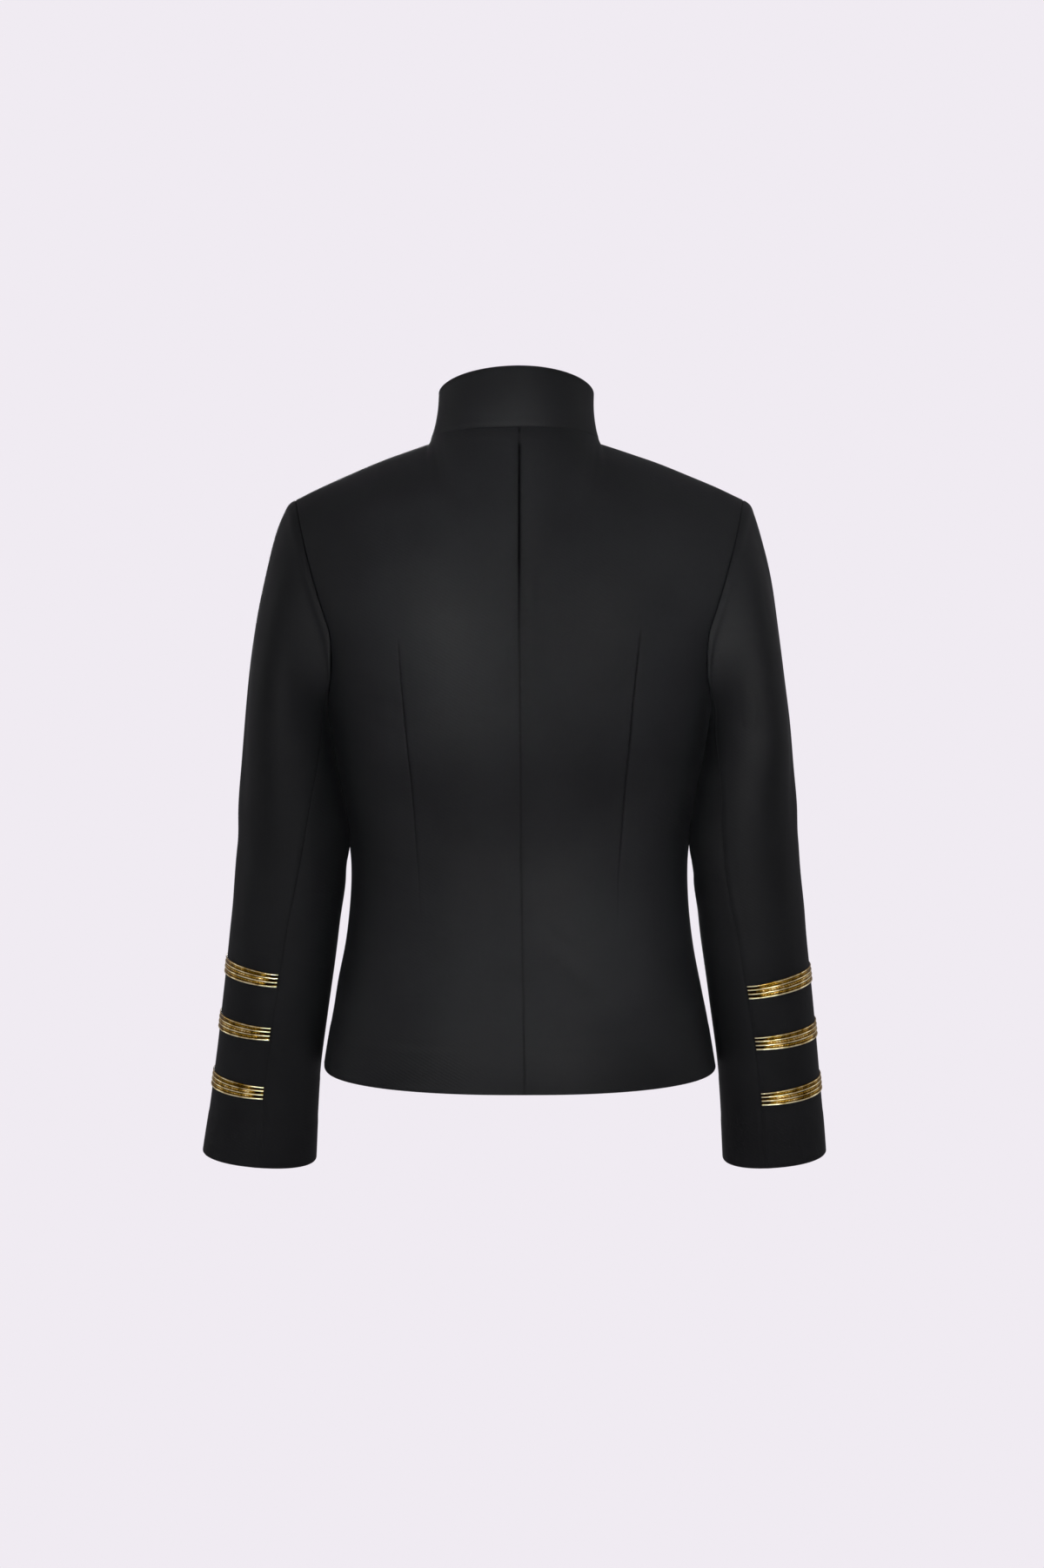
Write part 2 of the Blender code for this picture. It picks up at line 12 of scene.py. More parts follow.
import bmesh
import bpy
import numpy as np
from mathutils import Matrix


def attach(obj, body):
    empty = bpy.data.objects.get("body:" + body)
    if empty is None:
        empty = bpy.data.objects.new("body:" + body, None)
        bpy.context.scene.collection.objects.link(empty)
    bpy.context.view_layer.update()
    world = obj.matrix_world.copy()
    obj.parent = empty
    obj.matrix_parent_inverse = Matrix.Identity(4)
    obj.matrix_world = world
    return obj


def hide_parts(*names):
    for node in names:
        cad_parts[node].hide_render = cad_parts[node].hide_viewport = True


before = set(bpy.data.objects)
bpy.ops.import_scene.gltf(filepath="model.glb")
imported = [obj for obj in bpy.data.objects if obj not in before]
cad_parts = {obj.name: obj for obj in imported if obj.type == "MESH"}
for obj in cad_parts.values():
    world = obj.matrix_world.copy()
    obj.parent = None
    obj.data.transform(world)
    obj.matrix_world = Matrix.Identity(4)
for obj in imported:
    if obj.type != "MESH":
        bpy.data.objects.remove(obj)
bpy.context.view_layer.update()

MM = 0.001

# Thickness of the cloth
WALL = 1.6
COLLAR_WALL = 2.8

# Steps of the armhole
NOTCH_ROWS = 5
SHOULDER_ROWS = 7
HIND_STEPS = 3
FORE_STEPS = 5
ARMHOLE_STEPS = NOTCH_ROWS + SHOULDER_ROWS

# Levels and seams of the trunk
HEM_SIDE = -550.5
HEM_DROP_BACK = 15.0
HEM_DROP_FRONT = 10.5
UNDERARM = -238.0
CHEST = -168.0
BACK_NOTCH = 67.0
FRONT_NOTCH = -62.0
SHOULDER_POINT = (200.0, -5.0, -49.0)
CENTRE_LEAN_DEG = 2.1
HEM_EDGE_POWER = 2.8
SHOULDER_FALL = 0.80

# How the trunk closes over the shoulders: quickened rise, then runs at the chest line and at the top seam
RISE_POWER = 1.35
CHEST_LIFT = (1.15, 0.5)
CHEST_SPREAD = 50.0
TOP_CLOSE = (1.25, 0.4)
TOP_SPREAD = 12.0
TOP_LEVEL = {"back": 0.60, "front": 0.85}
TOP_LEVEL_OUT = 0.05
CORNER_TAPS = ((-1.0, 0.1), (-0.5, 0.24), (0.0, 0.32), (0.5, 0.24), (1.0, 0.1))
CORNER_SPREAD = 0.17
CORNER_REACH = 0.38
CORNER_POWER = 5
OVER_START = 0.2
OVER_LONG = 0.45
SLOPE_STEP = 1.0

# Neck and collar
NECK_LEVEL = 1.0
NECK_BACK = 62.0
NECK_BACK_RISE = 7.0
NECK_FRONT = 66.0
NECK_FRONT_DROP = (18.0, 42.0)
NECK_SHARE_BACK = 0.44
NECK_SHARE_FRONT = 0.47
COLLAR_HEIGHT_BACK = 54.0
COLLAR_HEIGHT_SIDE = 44.5
COLLAR_HEIGHT_FRONT = 42.0
COLLAR_TOP_BACK = 57.0
COLLAR_TOP_FRONT = 61.0
COLLAR_CORNER = 9.0
COLLAR_CORNER_FROM = 1.5
COLLAR_CORNER_DROP = 0.8
COLLAR_OPEN_DEG = 1.3
COLLAR_BELLY = 1.2
COLLAR_HOLLOW = 2.0

# Front closing
LAP = 18.0
LAP_RISE = 3.0
LAP_FADE = 60.0
BUTTON_LEVELS = (-92.0, -172.0, -252.0, -332.0, -412.0, -492.0)
BUTTON_LIFT = 1.55
LAP_SEARCH = (0.04, 0.16, 25)
HEIGHT_SEARCH = (0.05, 2.95, 291)

# Sleeves
BICEP = -250.0
CUFF = -636.0
CUFF_ROLL = 0.085
SLEEVE_POWER = 2.15
CAP_RISE_POWER = 1.25
HIND_TURN_BELOW = 20.0
HIND_TURN_LONG = 130.0
SLEEVE_CLEAR = 1.0
SLEEVE_PRESS = 2.0
SEAT_CLEAR = 0.6
SEAT_PRESS = 0.01
PRESS_END = 0.42
PRESS_FADE = 0.15
HEM_REACH = 15.0
INNER_SIDE = 0.4
FORE_SEAM_DEG = -128.0
SLEEVE_LEAN_DEG = 9.0
SEAM_EASE = {"top": 0.4, "under": 0.3}


def table(columns, rows):
    """Short table as named columns, ordered by the first one."""
    names = columns.split()
    return {name: np.array([row[i] for row in rows], float) for i, name in enumerate(names)}


TRUNK = table(
    "height half_back half_front back front mid power_back power_front",
    [
        (-570, 176.5, 176.5, 120, -124, -4, 2.35, 2.25),
        (-534, 171.0, 171.0, 116, -122, -4, 2.35, 2.25),
        (-487, 162.5, 162.5, 106, -118, -4, 2.30, 2.25),
        (-440, 154.0, 154.0, 93, -113, -5, 2.25, 2.20),
        (-395, 150.0, 150.0, 84, -109, -6, 2.25, 2.20),
        (-363, 150.0, 150.0, 83, -109, -6, 2.25, 2.20),
        (-320, 155.0, 155.0, 88, -114, -5, 2.30, 2.20),
        (-280, 163.0, 163.0, 97, -123, -3, 2.40, 2.20),
        (-238, 170.0, 170.0, 105, -130, -2, 2.50, 2.20),
        (-200, 179.0, 171.0, 109, -130, -1, 2.55, 2.15),
        (-168, 188.0, 172.0, 110, -126, 0, 2.55, 2.10),
        (-140, 190.0, 172.0, 109, -119, 0, 2.55, 2.10),
    ],
)

# Fuller places and broad folds: angle, height, how far they spread each way, how far out
FORMS = {
    "back": table(
        "angle height wide tall out",
        [
            (36, -140, 17, 62, 5.0),
            (45, -480, 20, 60, 2.0),
            (48, -335, 9, 70, -2.4),
            (9, -372, 22, 20, -1.2),
            (24, -300, 10, 46, 1.3),
        ],
    ),
    "front": table(
        "angle height wide tall out",
        [(38, -212, 16, 48, 13.0), (44, -352, 9, 62, -2.2), (62, -292, 12, 34, 1.4)],
    ),
    "sleeve": table(
        "angle height wide tall out",
        [
            (38, -290, 15, 105, -2.2),
            (74, -262, 13, 84, 1.5),
            (-36, -392, 24, 17, -2.4),
            (-52, -356, 26, 19, 1.4),
        ],
    ),
}

SLEEVE = table(
    "height out mid wide deep tilt hind",
    [
        (-636, 232.5, -34, 48.7, 39, 11.0, 93),
        (-560, 225.3, -22, 46.5, 42, 10.0, 91),
        (-487, 216.0, -9, 47.5, 47, 7.5, 92),
        (-425, 208.0, 0, 48.4, 51, 4.0, 95),
        (-363, 201.8, 4, 49.5, 55, 1.5, 102),
        (-300, 203.5, 4, 44.5, 61, 0.0, 116),
        (-250, 206.0, 3, 38.0, 65, 0.0, 132),
    ],
)

# How the sleeve head rises: place on the armhole (0 underarm, 1 shoulder), lift off the sleeve, arrival
CAP = table(
    "place lift inwards across upwards",
    [
        (0.00, 1.0, 1.0, 1.0, 1.00),
        (0.25, 1.0, 1.0, 1.0, 0.90),
        (0.42, 1.1, 1.3, 1.0, 0.60),
        (0.70, 1.2, 1.4, 1.3, 0.35),
        (1.00, 1.2, 1.45, 1.0, 0.12),
    ],
)

# Sizes that differ from one side to the other
SIDES = {
    1: {"name": "left", "neck": 79.5, "collar": 72.0, "cuff_out": 4.5, "arm_out": 0.0, "hind_turn": 1.5},
    -1: {"name": "right", "neck": 71.5, "collar": 66.5, "cuff_out": -4.5, "arm_out": -4.0, "hind_turn": 15.5},
}

# Braids of each sleeve: height of the middle above the cuff edge at the seams, rise on the outer side
BRAIDS = {
    1: table("level rise", [(67.0, 4.0), (120.5, 4.6), (167.5, 8.8)]),
    -1: table("level rise", [(61.8, 5.2), (112.2, 5.4), (157.5, 10.9)]),
}


def hermite(u, start, start_run, end, end_run):
    """Smooth path from start to end with the given runs at both ends."""
    return (
        (2 * u**3 - 3 * u**2 + 1) * start
        + (u**3 - 2 * u**2 + u) * start_run
        + (3 * u**2 - 2 * u**3) * end
        + (u**3 - u**2) * end_run
    )


def read(tab, name, at):
    """Smooth value of a column at places of the first column."""
    places = next(iter(tab.values()))
    values = tab[name]
    step = np.diff(places)
    rise = np.diff(values) / step
    inner = (rise[:-1] * step[1:] + rise[1:] * step[:-1]) / (step[1:] + step[:-1])
    slope = np.concatenate((rise[:1], inner, rise[-1:]))
    i = np.clip(np.searchsorted(places, at) - 1, 0, len(step) - 1)
    u = np.clip((at - places[i]) / step[i], 0.0, 1.0)
    return hermite(u, values[i], slope[i] * step[i], values[i + 1], slope[i + 1] * step[i])


def ease(u, amount):
    """Even steps made shorter towards both ends."""
    return u - amount * np.sin(2 * math.pi * u) / (2 * math.pi)


def ramp(u):
    """Soft step from 0 to 1."""
    u = np.clip(u, 0.0, 1.0)
    return u * u * (3 - 2 * u)


def points(x, y, z):
    return np.stack(np.broadcast_arrays(x, y, z), axis=-1)


def swell(tag, angle, height):
    """How far the fuller places and broad folds stand out."""
    out = 0.0
    for place, level, wide, tall, high in zip(*FORMS[tag].values()):
        out = out + high * np.exp(-(((angle - place) / wide) ** 2) - ((height - level) / tall) ** 2)
    return out


def girth(tag, height):
    """Half width, depth, side line and squareness of one half of the trunk."""
    mid = read(TRUNK, "mid", height)
    deep = np.abs(read(TRUNK, tag, height) - mid)
    return read(TRUNK, "half_" + tag, height), deep, mid, read(TRUNK, "power_" + tag, height)


def trunk(tag, angle, height):
    """Place on the trunk by the angle from the centre line, in radians, and the height."""
    half, deep, mid, power = girth(tag, height)
    across = np.abs(np.sin(angle)) / half
    along = np.abs(np.cos(angle)) / deep
    reach = (across**power + along**power) ** (-1 / power)
    reach = reach + swell(tag, np.degrees(np.abs(angle)), height)
    back = 1.0 if tag == "back" else -1.0
    return points(reach * np.sin(angle), mid + back * reach * np.cos(angle), height)


def trunk_side(y, height):
    """Half width of the trunk at a depth, below the underarm."""
    out = []
    for tag in ("back", "front"):
        half, deep, mid, power = girth(tag, height)
        share = np.clip(np.abs(y - mid) / deep, 0.0, 0.999)
        out.append((y - mid, half * (1 - share**power) ** (1 / power)))
    return np.where(out[0][0] > 0, out[0][1], out[1][1])


def armhole_angle(tag, place):
    """Angle and height of the lower armhole: place 0 at the underarm, 1 at the notch."""
    turn = place * math.pi / 2
    height = UNDERARM + (CHEST - UNDERARM) * (1 - np.cos(turn))
    half, deep, mid, power = girth(tag, height)
    notch = abs(BACK_NOTCH if tag == "back" else FRONT_NOTCH)
    depth = notch * np.sin(turn)
    wide = half * (1 - (depth / deep) ** power) ** (1 / power)
    return np.arctan2(wide, depth), height


def neckline(tag, turn, side):
    """Seam of the collar: turn 0 on the centre line, a quarter turn at the shoulder seam."""
    x = SIDES[side]["neck"] * np.sin(turn)
    if tag == "back":
        rise = NECK_BACK_RISE * (1 - (1 - np.cos(turn)) ** 2)
        return points(x, NECK_BACK * np.cos(turn), NECK_LEVEL + rise)
    near, far = NECK_FRONT_DROP
    drop = near * np.cos(turn) + far * np.cos(turn) ** 2
    return points(x, -NECK_FRONT * np.cos(turn), NECK_LEVEL - drop)


def shoulder_seam(along, side):
    """Seam from the neck (0) to the shoulder point (1)."""
    neck = SIDES[side]["neck"]
    out, across, down = SHOULDER_POINT
    fall = SHOULDER_FALL * along + (1 - SHOULDER_FALL) * along**2
    return points(neck + (out - neck) * along, across * along, NECK_LEVEL + (down - NECK_LEVEL) * fall)


def top_edge(tag, side, s):
    """Top seam of a quarter: the neckline, then the shoulder seam."""
    share = NECK_SHARE_BACK if tag == "back" else NECK_SHARE_FRONT
    first = 0.0 if tag == "back" else -math.asin(LAP / SIDES[side]["neck"])
    turn = first + (math.pi / 2 - first) * np.clip(s / share, 0, 1)
    along = np.clip((s - share) / (1 - share), 0, 1)
    return np.where((s <= share)[..., None], neckline(tag, turn, side), shoulder_seam(along, side))


def panel(tag, side, s, t):
    """One quarter of the trunk: s from the centre edge to the side, t 0-1 hem to underarm,
    1-2 underarm to chest, 2-3 chest to the neckline and the shoulder seam."""
    s, t = np.broadcast_arrays(np.asarray(s, float), np.asarray(t, float))
    low = np.clip(t, 0, 1)
    arm = np.clip(t - 1, 0, 1)
    drop = HEM_DROP_BACK if tag == "back" else HEM_DROP_FRONT
    hem = HEM_SIDE - drop * (1 - np.abs(s) ** HEM_EDGE_POWER)
    end, arm_height = armhole_angle(tag, arm)
    mid_height = UNDERARM + (CHEST - UNDERARM) * arm
    height = np.where(t <= 1, hem + (UNDERARM - hem) * low, mid_height + (arm_height - mid_height) * s**2)
    end = np.where(t <= 1, math.pi / 2, end)
    if tag == "back":
        start = -side * math.radians(CENTRE_LEAN_DEG) * np.clip((height - CHEST) / (HEM_SIDE - CHEST), 0, 1)
    else:
        start = -np.arcsin(LAP / girth(tag, height)[1])
    angle = start + (end - start) * s
    flat = trunk(tag, angle, height)
    up = np.clip(t - 2, 0, 1)
    up = 1 - (1 - up) ** RISE_POWER
    # Above the chest: up to the neckline and the shoulder seam, their corner rounded below the seam
    share = NECK_SHARE_BACK if tag == "back" else NECK_SHARE_FRONT
    top = top_edge(tag, side, s)
    spread = CORNER_SPREAD * np.clip(1 - ((s - share) / CORNER_REACH) ** 2, 0, 1) ** 2
    soft = sum(weight * top_edge(tag, side, s + spread * tap) for tap, weight in CORNER_TAPS)
    top = soft + (top - soft) * (up**CORNER_POWER)[..., None]
    below = trunk(tag, angle, height - SLOPE_STEP)
    rise = flat - below
    over = ramp((s - OVER_START) / OVER_LONG)
    gap = top - flat
    lift = CHEST_LIFT[0] + CHEST_LIFT[1] * over
    start_run = rise * (lift * gap[..., 2])[..., None]
    start_run[..., 0] += CHEST_SPREAD * s**3
    close = TOP_CLOSE[0] + TOP_CLOSE[1] * over
    level = TOP_LEVEL[tag] * (1 - over) + TOP_LEVEL_OUT * over
    end_run = points(TOP_SPREAD * s**3, close * gap[..., 1], level * gap[..., 2])
    upper = hermite(up[..., None], flat, start_run, top, end_run)
    place = np.where((t > 2)[..., None], upper, flat)
    if tag == "front" and side < 0:
        place[..., 1] -= LAP_RISE * ramp((LAP_FADE - place[..., 0]) / (LAP_FADE - LAP))
    return place * np.array([side, 1.0, 1.0])


def armhole(side, place):
    """Point of the armhole seam: place 0 underarm, 1 and -1 the shoulder by the back and by the front."""
    step = np.abs(place) * ARMHOLE_STEPS
    low = step / NOTCH_ROWS
    high = 1 + (step - NOTCH_ROWS) / SHOULDER_ROWS
    t = 1 + np.where(step <= NOTCH_ROWS, low, high)
    ones = np.ones_like(t)
    return np.where((place >= 0)[..., None], panel("back", side, ones, t), panel("front", side, ones, t))


def tube(side, angle, height):
    """Place on the sleeve below the armhole: angle 0 outside, a quarter turn at the back."""
    out, mid, wide, deep, tilt = (read(SLEEVE, name, height) for name in "out mid wide deep tilt".split())
    low = np.clip((BICEP - height) / (BICEP - CUFF), 0, 1)
    swing = SIDES[side]["cuff_out"] / 2 * low**4 + SIDES[side]["arm_out"] / 2 * (1 - low)
    wide = wide + swing
    out = out + swing
    tilt = np.radians(tilt)
    round_out = np.abs(np.cos(angle) / wide) ** SLEEVE_POWER + np.abs(np.sin(angle) / deep) ** SLEEVE_POWER
    reach = round_out ** (-1 / SLEEVE_POWER) + swell("sleeve", np.degrees(angle), height)
    y = mid + reach * np.sin(angle) * np.cos(tilt)
    z = height - reach * np.sin(angle) * np.sin(tilt)
    x = out + reach * np.cos(angle)
    z = z + CUFF_ROLL * low**2 * reach * np.cos(angle)
    rest = trunk_side(y, np.clip(z, HEM_SIDE - HEM_REACH, UNDERARM)) + SLEEVE_CLEAR
    push = (x + rest + np.sqrt((x - rest) ** 2 + SLEEVE_PRESS**2)) / 2
    touching = (z > HEM_SIDE - HEM_REACH) & (np.cos(angle) < INNER_SIDE)
    return points(np.where(touching, push, x), y, z)


def sleeve(piece, side, v, t):
    """Place on a sleeve piece: v across from seam to seam, t 0-1 cuff to bicep, 1-2 up to the armhole."""
    v, t = np.broadcast_arrays(np.asarray(v, float), np.asarray(t, float))
    height = CUFF + (BICEP - CUFF) * np.clip(t, 0, 1)
    turned = SIDES[side]["hind_turn"] * ramp((BICEP - HIND_TURN_BELOW - height) / HIND_TURN_LONG)
    hind = np.radians(read(SLEEVE, "hind", height) + turned)
    fore = math.radians(FORE_SEAM_DEG)
    over_steps = 2 * ARMHOLE_STEPS - HIND_STEPS - FORE_STEPS
    if piece == "top":
        angle = fore + (hind - fore) * ease(v, SEAM_EASE[piece])
        step = v * over_steps
        head = ARMHOLE_STEPS - FORE_STEPS
        place = np.where(step <= head, -(FORE_STEPS + step), 2 * ARMHOLE_STEPS - FORE_STEPS - step)
    else:
        angle = hind + (fore + 2 * math.pi - hind) * ease(v, SEAM_EASE[piece])
        place = HIND_STEPS - v * (HIND_STEPS + FORE_STEPS)
    place = place / ARMHOLE_STEPS
    base = tube(side, angle, height)
    up = np.clip(t - 1, 0, 1)
    up = 1 - (1 - up) ** CAP_RISE_POWER
    seat = armhole(side, place) * np.array([side, 1.0, 1.0])
    rise = base - tube(side, angle, height - SLOPE_STEP)
    gap = seat - base
    near = np.abs(place)
    start_run = rise * (read(CAP, "lift", near) * gap[..., 2])[..., None]
    arrive = points(*(read(CAP, name, near) for name in ("inwards", "across", "upwards")))
    upper = hermite(up[..., None], base, start_run, seat, gap * arrive)
    rest = trunk_side(upper[..., 1], np.minimum(upper[..., 2], CHEST)) + SEAT_CLEAR
    press = (upper[..., 0] + rest + np.sqrt((upper[..., 0] - rest) ** 2 + SEAT_PRESS)) / 2
    under = np.where(upper[..., 2] < CHEST, ramp((PRESS_END - near) / PRESS_FADE), 0.0)
    upper[..., 0] += (press - upper[..., 0]) * under
    return np.where((t > 1)[..., None], upper, base) * np.array([side, 1.0, 1.0])


def collar(s, t):
    """Stand collar: s around from the left front edge to the right one, t up from the neckline."""
    whole = 2 * (180 - COLLAR_OPEN_DEG)
    round_deg = np.asarray(180 - COLLAR_OPEN_DEG - whole * s)
    place = np.zeros(np.broadcast(s, t).shape + (3,))
    for side in (1, -1):
        for tag in ("back", "front"):
            turned = np.abs(round_deg)
            turn = np.radians(turned if tag == "back" else 180 - turned)
            here = ((round_deg >= 0) == (side > 0)) & ((turned <= 90) == (tag == "back"))
            foot = neckline(tag, turn, side)
            share = np.sin(turn) ** 2
            if tag == "back":
                high = COLLAR_HEIGHT_BACK + (COLLAR_HEIGHT_SIDE - COLLAR_HEIGHT_BACK) * share
                deep = COLLAR_TOP_BACK
            else:
                high = COLLAR_HEIGHT_FRONT + (COLLAR_HEIGHT_SIDE - COLLAR_HEIGHT_FRONT) * share
                deep = -COLLAR_TOP_FRONT
                edge = np.clip(1 - (turn * NECK_FRONT - COLLAR_CORNER_FROM) / COLLAR_CORNER, 0, 1)
                high = high - COLLAR_CORNER * (1 - np.sqrt(1 - edge**2)) * COLLAR_CORNER_DROP
            head = points(SIDES[side]["collar"] * np.sin(turn), deep * np.cos(turn), foot[..., 2] + high)
            belly = ((COLLAR_BELLY - (COLLAR_BELLY + COLLAR_HOLLOW) * share) * 4 * t * (1 - t))[..., None]
            out = points(np.sin(turn), np.sign(deep) * np.cos(turn), 0)
            full = (foot + (head - foot) * t[..., None] + belly * out) * np.array([side, 1.0, 1.0])
            place = np.where(here[..., None], full, place)
    return place


# ---------------------------------------------------------------- fine surface of the cloth

# Mesh of the cloth: its cell, the finer steps next to each seam, and the lengths that it is counted from
CELL = 3.0
COLLAR_CELL = 2.5
SEAM_STEPS = (0.0, 0.35, 0.7, 1.1, 1.6, 2.3, 3.2, 4.4, 6.0)
PANEL_LONG = (314.0, 72.0, 172.0)
PANEL_WIDE = 232.0
SLEEVE_LONG = (392.0, 188.0)
SLEEVE_WIDE = {"top": 190.0, "under": 112.0}
COLLAR_LONG = 436.0
COLLAR_HIGH = 46.0
DART_SEARCH = 161
EASE_STEPS = 401

# How far the cloth runs on past its edges into a seam
MEET = 0.2
COLLAR_MEET = 0.9

# Folded edges: the turned-up band and its thickness, and how round the fold is on both faces
TURN_UP = 34.0
TURN_UP_FADE = 6.0
TURN_UP_THICK = 0.3
FOLD_OUTER = 1.4
FOLD_SHARE = 0.5
FOLD_INNER = 0.7
FOLD_MOST = 0.6
COLLAR_FOLD_SHARE = 0.8

# Seams: how deep the cloth dips into each, how wide the dip is, and the depth at which the painted seam shade
# is darkest
SIDE_SEAM = 0.7
TOP_SEAM = 0.6
NECK_SEAM = 0.3
FORE_SEAM = 0.45
SEAM_WIDE = 1.3
DART_WIDE = 1.6
CENTRE_WIDE = 1.8
SEAM_POWER = 1.4
SEAM_FULL = 0.8

# Soft rolls and pressed-in lines along a seam or an edge: height, distance from it and width
ROLLS = {
    "dart": (0.1, 3.4, 2.0),
    "side seam": (0.2, 4.5, 2.5),
    "centre seam": (0.12, 4.0, 2.2),
    "neck facing": (-0.22, 15.0, 1.3),
    "front stitching": (-0.25, 6.0, 0.8),
    "hind seam of top": (0.25, 4.0, 2.2),
    "hind seam of under": (0.1, 4.0, 2.2),
    "sleeve head": (0.8, 8.0, 5.0),
    "collar foot": (0.15, 4.5, 2.5),
}
FACING_HALF = 52.0
FACING_FADE = 20.0
STITCH_START = 3.0

# Where the wool of the back is pressed over the collar seam: how much of the seam it covers, how far from
# the middle it begins and fades, and how far behind the shoulder line it is whole
PRESSED_OVER = 0.75
PRESSED_FROM = 36.0
PRESSED_FADE = 14.0
PRESSED_BEHIND = 6.0

# Creases fade at both ends, and widen along their way
CREASE_POWER = 1.2
CREASE_START = 0.8
CREASE_WIDENS = 0.4

# Unevenness: number of waves, their length and height, and how near an edge it calms
WAVES = 9
WAVE_RANGE = (0.5, 1.5)
WOOL_WAVE = (85.0, 0.16)
COLLAR_WAVE = (60.0, 0.07)
TRUNK_CALM = 14.0
SLEEVE_CALM = 12.0
COLLAR_CALM = 8.0
TRUNK_SEED = 11
SLEEVE_SEED = 31
COLLAR_SEED = 5

# The lower sleeve is nearly smooth where the braids are sewn on
SMOOTH_LONG = 190.0
SMOOTH_FADE = 40.0
SMOOTH_UNEVEN = 0.25

# Darts: distance from the middle of the body and depth of the pressed line, by height
DARTS = {
    "back_left": table(
        "height across deep",
        [(-560, 80, 0), (-425, 84, 0), (-372, 88, 0.25), (-324, 91.5, 0.6), (-243.5, 99, 0.8),
         (-190, 103.2, 0.5), (-178, 104, 0), (0, 104, 0)],
    ),
    "back_right": table(
        "height across deep",
        [(-560, 80, 0), (-436, 84, 0), (-390, 86, 0.25), (-340, 88.8, 0.6), (-235, 97.5, 0.8),
         (-178, 103, 0.5), (-166, 104, 0), (0, 104, 0)],
    ),
    "front_left": table(
        "height across deep",
        [(-560, 74, 0), (-458, 76, 0), (-400, 79, 0.5), (-330, 82, 0.8), (-256, 86, 0.6), (-236, 87, 0),
         (0, 90, 0)],
    ),
    "front_right": table(
        "height across deep",
        [(-560, 76, 0), (-450, 78, 0), (-396, 80, 0.5), (-330, 83, 0.8), (-262, 87, 0.6), (-242, 88, 0),
         (0, 90, 0)],
    ),
}

